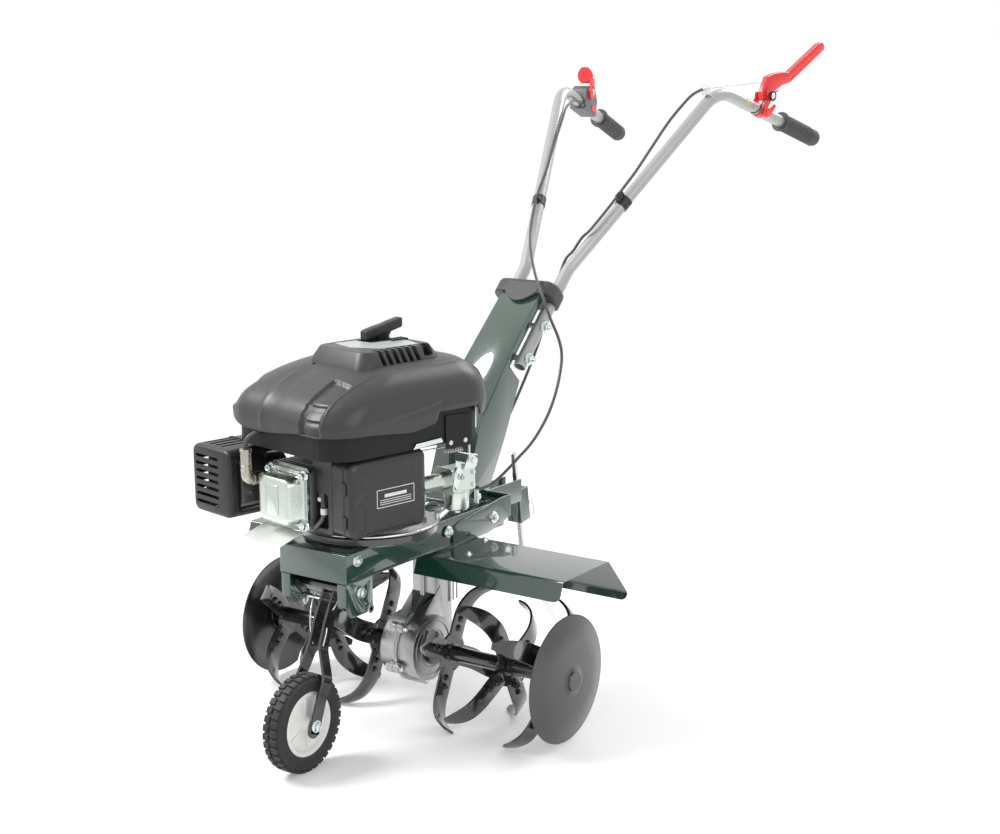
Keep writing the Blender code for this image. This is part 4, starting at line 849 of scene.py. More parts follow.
# ---- stage -----------------------------------------------------------------------------------
class CULTIVATOR_OT_stage(bpy.types.Operator):
    """Floor, backdrop, soft lights and the camera"""
    bl_idname = "cultivator.stage"
    bl_label = "Studio"

    def execute(self, context):
        scene = context.scene
        bm = bmesh.new()
        bmesh.ops.create_circle(bm, cap_ends=True, segments=96, radius=14.0)
        floor = mesh_object("studio_floor", bm)
        floor.data.shade_smooth()
        mat = bpy.data.materials.new("Studio Paper")
        mat.use_nodes = True
        shader = mat.node_tree.nodes["Principled BSDF"]
        shader.inputs["Base Color"].default_value = (0.90, 0.90, 0.895, 1.0)
        shader.inputs["Roughness"].default_value = 0.42
        shader.inputs["Specular IOR Level"].default_value = 0.25
        shader.inputs["Emission Color"].default_value = (1.0, 1.0, 0.995, 1.0)
        shader.inputs["Emission Strength"].default_value = 0.20
        tree = mat.node_tree
        place = tree.nodes.new("ShaderNodeTexCoord")
        spread = tree.nodes.new("ShaderNodeVectorMath")
        spread.operation = "LENGTH"
        tree.links.new(place.outputs["Object"], spread.inputs[0])
        white = tree.nodes.new("ShaderNodeEmission")
        fade = maths(tree, "MULTIPLY_ADD", spread.outputs["Value"], 0.9, -0.95)
        fade.node.use_clamp = True
        blend = tree.nodes.new("ShaderNodeMixShader")
        tree.links.new(fade, blend.inputs[0])
        tree.links.new(shader.outputs[0], blend.inputs[1])
        tree.links.new(white.outputs[0], blend.inputs[2])
        tree.links.new(blend.outputs[0], tree.nodes["Material Output"].inputs["Surface"])
        floor.data.materials.append(mat)

        world = bpy.data.worlds.new("Studio Air")
        scene.world = world
        world.use_nodes = True
        air = world.node_tree.nodes["Background"]
        air.inputs["Color"].default_value = (1.0, 1.0, 1.0, 1.0)
        path = world.node_tree.nodes.new("ShaderNodeLightPath")
        seen = maths(world.node_tree, "MULTIPLY_ADD", path.outputs["Is Camera Ray"], 0.42, 0.58)
        glossy = maths(world.node_tree, "MULTIPLY_ADD", path.outputs["Is Glossy Ray"], 0.42, seen)
        world.node_tree.links.new(glossy, air.inputs["Strength"])
        power = scene.cultivator_sizes.key_light
        middle = Vector((0.05, -0.10, 0.45))
        for name, spot, size, watts in (
                ("key", (-1.9, -1.7, 2.9), 1.7, power),
                ("fill", (3.2, -1.2, 1.7), 2.2, power * 0.20),
                ("rim", (0.6, 2.6, 2.6), 1.8, power * 0.45)):
            data = bpy.data.lights.new(name, "AREA")
            data.shape = "DISK"
            data.size = size
            data.energy = watts
            light = bpy.data.objects.new(name, data)
            scene.collection.objects.link(light)
            light.location = spot
            light.rotation_euler = (middle - Vector(spot)).to_track_quat("-Z", "Y").to_euler()

        data = bpy.data.cameras.new("view")
        data.sensor_width = 36.0
        data.lens = 62.66
        camera = bpy.data.objects.new("view", data)
        scene.collection.objects.link(camera)
        around, down, roll = (math.radians(v) for v in (34.99, 11.81, -0.30))
        camera.matrix_world = (Matrix.Translation((1.6841, -2.1623 - FOOTPRINT_MID_Y, 1.0629))
                               @ Matrix.Rotation(around, 4, "Z")
                               @ Matrix.Rotation(math.radians(90) - down, 4, "X")
                               @ Matrix.Rotation(roll, 4, "Z"))
        scene.camera = camera
        scene.view_settings.view_transform = "Standard"
        return {"FINISHED"}


# ---- cables ----------------------------------------------------------------------------------
THROTTLE_ROUTE = (
    (-0.1672, 0.7622, 0.9660), (-0.1632, 0.7395, 0.9725), (-0.1530, 0.7080, 0.9700),
    (-0.1420, 0.6720, 0.9600), (-0.1290, 0.6380, 0.9390), (-0.1110, 0.5800, 0.8910),
    (-0.0960, 0.5330, 0.8500), (-0.0830, 0.4830, 0.8070),
    (-0.0560, 0.4220, 0.7520), (-0.0180, 0.3680, 0.7180), (0.0220, 0.3200, 0.6900),
    (0.0500, 0.2960, 0.6640), (0.0760, 0.2840, 0.6240), (0.0930, 0.2860, 0.5870),
    (0.1010, 0.2830, 0.5560), (0.1080, 0.2600, 0.5140), (0.1150, 0.2256, 0.4774),
    (0.1180, 0.1909, 0.4497), (0.1180, 0.1611, 0.4298), (0.1170, 0.1332, 0.4164),
    (0.1140, 0.1086, 0.4024), (0.1100, 0.0857, 0.3897), (0.1050, 0.0646, 0.3800),
    (0.0975, 0.0350, 0.3760))
CLUTCH_ROUTE = (
    (0.1605, 0.6570, 0.9978), (0.1580, 0.6465, 0.9947), (0.1540, 0.6320, 0.9890),
    (0.1485, 0.6151, 0.9770), (0.1340, 0.5809, 0.9420), (0.1164, 0.5439, 0.8923),
    (0.1033, 0.5165, 0.8551), (0.0908, 0.4879, 0.8223), (0.0800, 0.4640, 0.7945),
    (0.0640, 0.4320, 0.7590), (0.0480, 0.4290, 0.7440), (0.0340, 0.4230, 0.7210),
    (0.0200, 0.4150, 0.7000), (0.0050, 0.3980, 0.6300), (0.0050, 0.3400, 0.5400),
    (0.0050, 0.2650, 0.4500), (0.0080, 0.1950, 0.3830), (0.0100, 0.1650, 0.3600))
CABLE_RADIUS = 0.0025


class CULTIVATOR_OT_cables(bpy.types.Operator):
    """Throttle and clutch cables on their whole routes"""
    bl_idname = "cultivator.cables"
    bl_label = "Control Cables"

    def execute(self, context):
        for word, route in (("throttle", THROTTLE_ROUTE), ("clutch", CLUTCH_ROUTE)):
            path = [MACHINE @ p for p in smooth_route(route, 0.0060)]
            sheath = finish(f"{word}_cable_sheath", bar(path, CABLE_RADIUS, 14),
                            finish_named("cable_sheath"), "chassis", (f"{word}_cable",),
                            Matrix())
        return {"FINISHED"}


# ---- frame -----------------------------------------------------------------------------------
def fender_sheet(side):
    """Bent sheet over one rotor, with the corners of both lips rounded."""
    bends = filleted([(0, -0.0580, 0.2510), (0, -0.0470, 0.2822), (0, 0.0848, 0.2822),
                      (0, 0.1432, 0.2165), (0, 0.1432, 0.2020)], (0.0045, 0.0060, 0.0050), 5)
    lengths = [0.0]
    for a, b in zip(bends, bends[1:]):
        lengths.append(lengths[-1] + (b - a).length)
    total = lengths[-1]

    def at(run):
        for i, (start, end) in enumerate(zip(lengths, lengths[1:])):
            if run <= end or i == len(lengths) - 2:
                return bends[i].lerp(bends[i + 1], (run - start) / (end - start))

    corner = 0.0120
    low_x, high_x = 0.0410, 0.3178
    columns = [low_x, low_x + corner]
    columns += [high_x - corner + corner * math.sin(math.radians(15 * i)) for i in range(7)]
    rows = []
    for x in columns:
        room = min(x - low_x, high_x - x)
        short = 0.0
        if x > high_x - corner - 1e-6:
            short = corner - math.sqrt(max(corner ** 2 - (corner - room) ** 2, 0.0))
        run = [short + (lengths[1] - short) * i / 6 for i in range(6)] + lengths[1:-1]
        last = lengths[-2]
        run += [last + (total - short - last) * i / 6 for i in range(1, 7)]
        rows.append([Vector((side * x, at(r).y, at(r).z)) for r in run])
    bm = bmesh.new()
    grid = [[bm.verts.new(p) for p in row] for row in rows]
    for a, b in zip(grid, grid[1:]):
        for i in range(len(a) - 1):
            face = (a[i], a[i + 1], b[i + 1], b[i])
            bm.faces.new(face if side > 0 else face[::-1])
    bm.normal_update()
    if sum(f.normal.z for f in bm.faces) < 0:
        bmesh.ops.reverse_faces(bm, faces=bm.faces)
    return bm


class CULTIVATOR_OT_frame(bpy.types.Operator):
    """Pressed steel tray, column, hitch bracket and fenders with their bolts"""
    bl_idname = "cultivator.steel_frame"
    bl_label = "Steel Frame"

    def execute(self, context):
        green = finish_named("green_enamel")
        zinc = finish_named("zinc")
        washer = context.scene.cultivator_sizes.washer
        for node, edge in (("chassis_tray", 0.0011), ("handle_column", 0.0010),
                           ("hitch_bracket", 0.0007)):
            refined(node, green, "chassis", edge)
        for side, word in ((1, "left"), (-1, "right")):
            finish(f"fender_sheet_{word}", fender_sheet(side), green, "chassis",
                   (f"fender_{word}",), wall=0.0016, edge=0.0003)
        spots = []
        for side in (1, -1):
            for x, y, z in ((0.0662, -0.226, 0.318), (0.0692, -0.001, 0.311),
                            (0.0692, 0.126, 0.307)):
                spots.append(((side * x, y, z), (side, 0, 0)))
        bolts("frame_bolts", spots, zinc, "chassis", 0.0062, 0.0048, washer)
        spots = [((0.0642, -0.2160, 0.2655), (1, 0, 0))]
        spots = [((side * x, y, 0.2824), (0, 0, 1)) for side in (1, -1)
                 for x, y in ((0.084, 0.078), (0.112, -0.006))]
        bolts("fender_screws", spots, zinc, "chassis", 0.0040, 0.0026, 0.0062, 0.0008)
        lips = [prism(((-0.2500, 0.2872), (0.1500, 0.2872), (0.1500, 0.2890), (-0.2500, 0.2890)),
                      *sorted((side * 0.0662, side * 0.0676)), axis="X") for side in (1, -1)]
        finish("tray_beads", gather(*lips), green, "chassis", edge=0.0004)
        return {"FINISHED"}


# ---- handles ---------------------------------------------------------------------------------
def tube_path(side, steps=14):
    corners = [(side * 0.0432, 0.2400, 0.5414), (side * 0.0440, 0.3890, 0.6904),
               (side * 0.1687, 0.6980, 0.9962), (side * 0.2200, 0.9930, 0.8982)]
    return filleted(corners, (0.08, 0.07), steps)


class CULTIVATOR_OT_handles(bpy.types.Operator):
    """Handle tubes, their clamp, bolts, cable clips and ribbed grips"""
    bl_idname = "cultivator.handles"
    bl_label = "Handles"

    def execute(self, context):
        grey = finish_named("powder_coat")
        rubber = finish_named("grip_rubber")
        cap = finish_named("cap_plastic")
        rib = context.scene.cultivator_sizes.grip_rib
        for side, word in ((1, "left"), (-1, "right")):
            path = tube_path(side)
            rings = tube_rings(path, TUBE_RADIUS, 32)
            rings += tube_rings(path, TUBE_RADIUS - TUBE_WALL, 32)[::-1]
            finish(f"handle_tube_{word}_round", skin(rings, closed=True), grey, "chassis",
                   (f"handle_tube_{word}",))
            frame_at = LEFT_HANDLE if side > 0 else RIGHT_HANDLE
            start = HANDLE_RUN - 0.113
            profile = [(0.0112, start), (0.0176, start), (0.0188, start + 0.0010),
                       (0.0188, start + 0.0036), (0.0176, start + 0.0048), (0.0158, start + 0.006)]
            profile += [(0.0146, start + 0.012), (0.0146, start + 0.098),
                        (0.0160, start + 0.102), (0.0163, start + 0.112),
                        (0.0150, start + 0.1165), (0.0040, start + 0.1170),
                        (0.0040, HANDLE_RUN + GAP), (0.0112, HANDLE_RUN + GAP)]
            finish(f"grip_{word}_sleeve", turned(profile, "Y", sides=48), rubber, "chassis",
                   (f"grip_{word}",), frame_at)
            ring = turned(((0.0142, start + 0.0135), (0.0148 + rib * 0.8, start + 0.0142),
                           (0.0150 + rib, start + 0.0160), (0.0148 + rib * 0.8, start + 0.0178),
                           (0.0142, start + 0.0185)), "Y", sides=40)
            repeated(f"grip_{word}_ribs", ring, "row", {"Count": 13, "Step": (0, 0.0066, 0)},
                     rubber, "chassis", frame_at)
            pad = skin([[Vector((x, y, 0.0146 * math.cos(math.asin(x / 0.0150)) + lift))
                         for x, y in rounded(0.0058 - inset, 0.0030 - inset * 0.5, 0.0016,
                                             (0.0, start + 0.0195), 3)]
                        for lift, inset in ((-0.002, 0.0), (rib * 1.3, 0.0),
                                            (rib * 1.9, 0.0012))])
            repeated(f"grip_{word}_pads", pad, "row", {"Count": 12, "Step": (0, 0.0066, 0)},
                     rubber, "chassis", frame_at)
        clamp = skin([[Vector((x, y, z)) for x, y in rounded(0.0610 - s, 0.0262 - s, 0.0180,
                                                             (0.0, -0.0108), 10)]
                      for z, s in ((-0.0300, 0.0012), (-0.0288, 0.0), (-0.0072, 0.0),
                                   (-0.0040, 0.0008), (-0.0020, 0.0026), (-0.0012, 0.0060))])
        lobe = []
        for i in range(25):
            t = i / 24
            lobe.append((-0.0340 + 0.0680 * t, -0.0270 - 0.0230 * math.sin(math.pi * t) ** 0.8))
        lobe += [(0.0340, -0.0100), (-0.0340, -0.0100)]
        apron = skin([[Vector((x * s, y, z)) for x, z in lobe] for y, s in
                      ((-0.0300, 1.0), (-0.0372, 1.0), (-0.0382, 0.97))])
        bores = gather(*[rod(TUBE_RADIUS + GAP, -0.08, 0.05, centre=(side * 0.0438, 0.0),
                             sides=32) for side in (-1, 1)])
        finish("column_cap_body", gather(cut(clamp, bores), apron), cap, "chassis",
               ("column_cap",), CAP)
        clothe(finish_named("zinc"), "tube_bolt_lower", "tube_bolt_upper", "wheel_axle_bolt",
               "lock_pin", "stake_pin", "worm_shaft", "crankshaft_pulley", "tensioner_arm")
        spots = []
        for y, z in ((0.2525, 0.5538), (0.3010, 0.6023)):
            spots += [((0.0546, y, z), (1, 0, 0)), ((-0.0546, y, z), (-1, 0, 0))]
        bolts("tube_bolt_washers", spots, finish_named("zinc"), "chassis", 0.0080, 0.0060, 0.0112)
        clips = []
        low = Vector((0.0440, 0.3890, 0.6904))
        high = Vector((0.1687, 0.6980, 0.9962))
        for side, share, out in ((1, 0.362, (0.0, -0.0150, 0.0150)),
                                 (-1, 0.345, (0.0060, -0.0120, 0.0080))):
            a = Vector((side * low.x, low.y, low.z))
            b = Vector((side * high.x, high.y, high.z))
            run = (b - a).normalized()
            middle = a.lerp(b, share)
            clips.append(bar([middle - run * 0.0100, middle + run * 0.0100],
                             TUBE_RADIUS + 0.0014, 32))
            ear = middle + Vector(out)
            clips.append(bar([ear - run * 0.0050, ear + run * 0.0050], 0.0052, 18))
            for step in (-0.0085, 0.0085):
                clips.append(bar([ear + run * step, middle + run * step], 0.0022, 10))
        finish("cable_clips", gather(*clips), finish_named("black_plastic"), "chassis",
               edge=0.0005)
        return {"FINISHED"}


# ---- engine ----------------------------------------------------------------------------------
COVER_LEVELS = (     # height, front, back, right, left, corner radius
    (0.5070, -0.167, 0.160, -0.155, 0.126, 0.060),
    (0.5350, -0.167, 0.163, -0.155, 0.128, 0.062),
    (0.5600, -0.152, 0.162, -0.149, 0.125, 0.062),
    (0.5820, -0.116, 0.154, -0.130, 0.115, 0.060),
    (0.5980, -0.078, 0.138, -0.104, 0.096, 0.055),
    (0.6040, -0.056, 0.118, -0.086, 0.078, 0.050),
)
RIDGE_X = 0.0900             # front edge of the pillow on the near side
RECESS_X = 0.0470            # far edge of the louvre recess
CREASE_X = -0.0470           # fold of the cover's front
CONSOLE_CENTRE = (0.004, 0.014)


def cover_level(share):
    """Outline sizes at a share of the way up, eased between the named levels."""
    place = share * (len(COVER_LEVELS) - 1)
    i = min(int(place), len(COVER_LEVELS) - 2)
    t = place - i
    rows = [COVER_LEVELS[max(min(k, len(COVER_LEVELS) - 1), 0)] for k in (i - 1, i, i + 1, i + 2)]
    level = []
    for a, b, c, d in zip(*rows):
        level.append(0.5 * (2 * b + (c - a) * t + (2 * a - 5 * b + 4 * c - d) * t ** 2
                            + (3 * b - a - 3 * c + d) * t ** 3))
    return level


def cover_point(level, turn):
    """Point of a level's rounded outline at a share of its way round."""
    z, front, back, right, left, radius = level
    wide, deep = left - right - 2 * radius, back - front - 2 * radius
    arc = math.pi * radius / 2
    run = turn * (2 * wide + 2 * deep + 4 * arc)
    legs = ((left, front + radius, 0, 1, deep), (left - radius, back, -1, 0, wide),
            (right, back - radius, 0, -1, deep), (right + radius, front, 1, 0, wide))
    corners = ((left - radius, back - radius, 0), (right + radius, back - radius, 90),
               (right + radius, front + radius, 180), (left - radius, front + radius, 270))
    for (x, y, dx, dy, length), (cx, cy, start) in zip(legs, corners):
        if run <= length:
            return Vector((x + dx * run, y + dy * run, z))
        run -= length
        if run <= arc:
            angle = math.radians(start) + run / radius
            return Vector((cx + radius * math.cos(angle), cy + radius * math.sin(angle), z))
        run -= arc
    return Vector((left, front + radius, z))


def cover_relief(point, depth):
    """How far the cover's skin stands out at a point: pillow, recess, louvres and fold."""
    x, y, z = point
    out = 0.0
    front = 1.0 - smoothstep(-0.104, -0.098, y)
    pillow = smoothstep(RIDGE_X - 0.001, RIDGE_X + 0.0035, x) * (1.0 - smoothstep(0.594, 0.603, z))
    out += 0.62 * depth * pillow
    out += 0.22 * depth * math.exp(-((x - RIDGE_X - 0.0042) / 0.0022) ** 2) * (
        1.0 - smoothstep(0.596, 0.602, z))
    inside = smoothstep(RECESS_X - 0.001, RECESS_X + 0.002, x)
    inside *= 1.0 - smoothstep(RIDGE_X - 0.0035, RIDGE_X - 0.001, x)
    inside *= front * smoothstep(0.5100, 0.5120, z + 0.004)
    out -= depth * inside
    slat = inside * smoothstep(RECESS_X + 0.009, RECESS_X + 0.011, x)
    for low, high in ((0.5190, 0.5350), (0.5400, 0.5560), (0.5610, 0.5800)):
        if low < z < high:
            rise = (z - low) / (high - low)
            out += slat * depth * 0.85 * (1.0 - rise) * min(1.0, rise * 14.0)
    far = smoothstep(-0.150, -0.146, x) * (1.0 - smoothstep(-0.112, -0.108, x))
    far *= front * smoothstep(0.522, 0.526, z) * (1.0 - smoothstep(0.572, 0.576, z))
    out -= 0.8 * depth * far
    fold = math.exp(-((x - CREASE_X) / 0.0045) ** 2) * front * smoothstep(0.50, 0.53, z)
    out += 0.30 * depth * fold
    flute = math.exp(-((x - CREASE_X - 0.022) / 0.014) ** 2) * (1.0 - smoothstep(-0.09, -0.06, y))
    out -= 0.16 * depth * flute
    facet = smoothstep(-0.002, 0.002, 0.5420 + 0.16 * y - z) * smoothstep(0.110, 0.118, x)
    out -= 0.22 * depth * facet * (1.0 - smoothstep(0.040, 0.050, y))
    return out


def cover_shell(depth):
    """Skin of the engine cover with its relief, open at the skirt."""
    fine, up = 840, 84
    turns = [i / fine for i in range(fine) if i % 3 == 0 or not 0.02 < i / fine < 0.80]
    around = len(turns)
    rings = []
    for j in range(up + 1):
        level = cover_level(j / up)
        rings.append([cover_point(level, turn) for turn in turns])
    shaped = []
    for j, ring in enumerate(rings):
        row = []
        for i, point in enumerate(ring):
            along = ring[(i + 1) % around] - ring[i - 1]
            rise = rings[min(j + 1, up)][i] - rings[max(j - 1, 0)][i]
            normal = along.cross(rise).normalized()
            moved = point + normal * cover_relief(point, depth)
            skirt = 1.0 - smoothstep(0.5070, 0.5450, point.z)
            front_lift = 0.0100 * smoothstep(-0.05, 0.06, moved.x) * smoothstep(0.02, -0.12,
                                                                                moved.y)
            cutout = smoothstep(0.030, 0.036, moved.y) * (1.0 - smoothstep(0.118, 0.124, moved.y))
            near = smoothstep(0.02, 0.08, moved.x)
            far = smoothstep(-0.085, -0.150, moved.x)
            front_lift += 0.0150 * far * smoothstep(0.02, -0.06, moved.y)
            moved.x -= 0.0070 * far * (1.0 - smoothstep(0.530, 0.580, point.z))
            moved.z += skirt * (front_lift + near * (0.010 * smoothstep(-0.03, 0.04, moved.y)
                                                     + 0.016 * cutout))
            row.append(moved)
        shaped.append(row)
    bm = bmesh.new()
    rows = [[bm.verts.new(p) for p in ring] for ring in shaped]
    for low, high in zip(rows, rows[1:]):
        for i in range(around):
            k = (i + 1) % around
            bm.faces.new((low[i], low[k], high[k], high[i]))
    bm.faces.new(rows[-1])
    bmesh.ops.recalc_face_normals(bm, faces=bm.faces)
    return bm


class CULTIVATOR_OT_cover(bpy.types.Operator):
    """Moulded engine cover, its console, decal and the starter"""
    bl_idname = "cultivator.engine_cover"
    bl_label = "Engine Cover"

    def execute(self, context):
        plastic = finish_named("cover_plastic")
        black = finish_named("black_plastic")
        shell = cover_shell(context.scene.cultivator_sizes.cover_relief)
        bmesh.ops.transform(shell, matrix=ENGINE, verts=shell.verts)
        skin_obj = mesh_object("shell", shell)
        solid = skin_obj.modifiers.new("Wall", "SOLIDIFY")
        solid.thickness = 0.0026
        solid.offset = -1.0
        settle(skin_obj)
        walls = bmesh.new()
        walls.from_mesh(skin_obj.data)
        old = skin_obj.data
        bpy.data.objects.remove(skin_obj, do_unlink=True)
        bpy.data.meshes.remove(old)
        ways = gather(rod(0.0250, 0.50, 0.66, centre=(-0.0900, 0.0950), sides=40),
                      rod(0.0052, 0.58, 0.66, centre=(-0.0370, -0.0690), sides=20))
        bmesh.ops.transform(ways, matrix=ENGINE, verts=ways.verts)
        finish("engine_cover_skin", cut(walls, ways), plastic, "chassis",
               ("engine_cover",), Matrix(), sharp=34)

        levels = ((0.5960, 0.0715, 0.0835, 0.022), (0.6060, 0.0690, 0.0800, 0.021),
                  (0.6215, 0.0610, 0.0710, 0.019), (0.6248, 0.0590, 0.0690, 0.018),
                  (0.6255, 0.0560, 0.0660, 0.016), (0.6250, 0.0530, 0.0630, 0.014))
        console = skin([[Vector((x, y, z)) for x, y in
                         rounded(hx, hy, r, CONSOLE_CENTRE, 8)] for z, hx, hy, r in levels])
        tools = [box((-0.0420, 0.0080, 0.6120), (-0.0140, 0.0900, 0.66))]
        for i in range(6):
            y = -0.0260 + 0.0135 * i
            lean = ((y, 0.60), (y + 0.0075, 0.60), (y + 0.0020, 0.64), (y - 0.0055, 0.64))
            tools.append(prism([(a, b) for a, b in lean], 0.0480, 0.0900, "X"))
        tools.append(box((0.0500, 0.0580, 0.6080), (0.0900, 0.0760, 0.64)))
        tools = gather(*tools)
        slots_floor = prism(rounded(0.0540, 0.0640, 0.014, CONSOLE_CENTRE, 4), 0.5970, 0.6200)
        finish("cover_console", cut(console, tools), plastic, "chassis", (),
               ENGINE, 0.0009)
        inside = cut(slots_floor, box((-0.0430, 0.0070, 0.6100), (-0.0130, 0.0910, 0.66)))
        finish("console_inside", inside, black, "chassis", (), ENGINE)

        outline = [(0.0010, -0.0470), (0.0420, -0.0200), (0.0470, 0.0500), (-0.0060, 0.0640),
                   (-0.0080, 0.0040), (-0.0440, 0.0000), (-0.0480, -0.0380)]
        decal = prism([(x + CONSOLE_CENTRE[0], y + CONSOLE_CENTRE[1] - 0.002) for x, y in outline],
                      0.6245, 0.6256)
        finish("console_decal", decal, finish_named("decal"), "chassis", (), ENGINE, 0.0003)

        bars = prism(((0.0500, 0.6250), (0.0520, 0.6250), (0.0500, 0.6285), (0.0480, 0.6285)),
                     -0.0080, 0.0100, "X")
        repeated("console_slats", bars, "row", {"Count": 5, "Step": (0.0, 0.0065, 0.0)}, plastic,
                 "chassis", ENGINE)

        x, y = -0.0280, 0.0550
        grip = skin([[Vector((x + a, yy, 0.6410 + 0.20 * (yy - y) + b)) for a, b in
                      rounded(0.0085 * s, 0.0080 * s, 0.0030 * s, (0.0, 0.0), 5)]
                     for yy, s in ((y - 0.0372, 0.80), (y - 0.0350, 0.98), (y - 0.0120, 1.0),
                                   (y, 0.94), (y + 0.0120, 1.0), (y + 0.0350, 0.98),
                                   (y + 0.0372, 0.80))])
        stem = skin([[Vector((x + a, y + b, z)) for a, b in rounded(hx, hy, 0.005, (0, 0), 4)]
                     for z, hx, hy in ((0.6135, 0.0055, 0.0100), (0.6240, 0.0055, 0.0110),
                                       (0.6360, 0.0065, 0.0170))])
        finish("starter_grip", gather(grip, stem), black, "starter", ("starter_handle",),
               ENGINE, 0.0006)
        rope = skin([[Vector((x + 0.0018 * math.cos(a), y + 0.0018 * math.sin(a), 0.5710
                              + 0.0440 * i / 40)) for a in
                      (math.tau * k / 12 for k in range(12))] for i in range(41)])
        finish("starter_cord", rope, finish_named("cable_sheath"), ("chassis", "starter"),
               ("starter_rope",), ENGINE,
               reach=(ENGINE @ Vector((x, y, 0.5720)), ENGINE @ Vector((x, y, 0.6140))))
        # The blower housing takes the extra dark black, which paints the shade under the cover's skirt.
        clothe(finish_named("shroud_painted_shade"), "blower_housing")
        refined("fuel_tank", finish_named("tank_plastic"), "chassis", 0.0018)
        refined("fuel_cap", black, "filler_cap", 0.0009)
        rib = box((0.0228, -0.0011, 0.5980), (0.0243, 0.0011, 0.6120))
        repeated("fuel_cap_ribs", rib, "ring",
                 {"Count": 22, "Axis": (0, 0, 1), "Centre": (-0.0900, 0.0950, 0.0)}, black,
                 "filler_cap", ENGINE)
        refined("oil_dipstick", black, "dipstick", 0.0005)
        return {"FINISHED"}


HEAD_X = -0.020


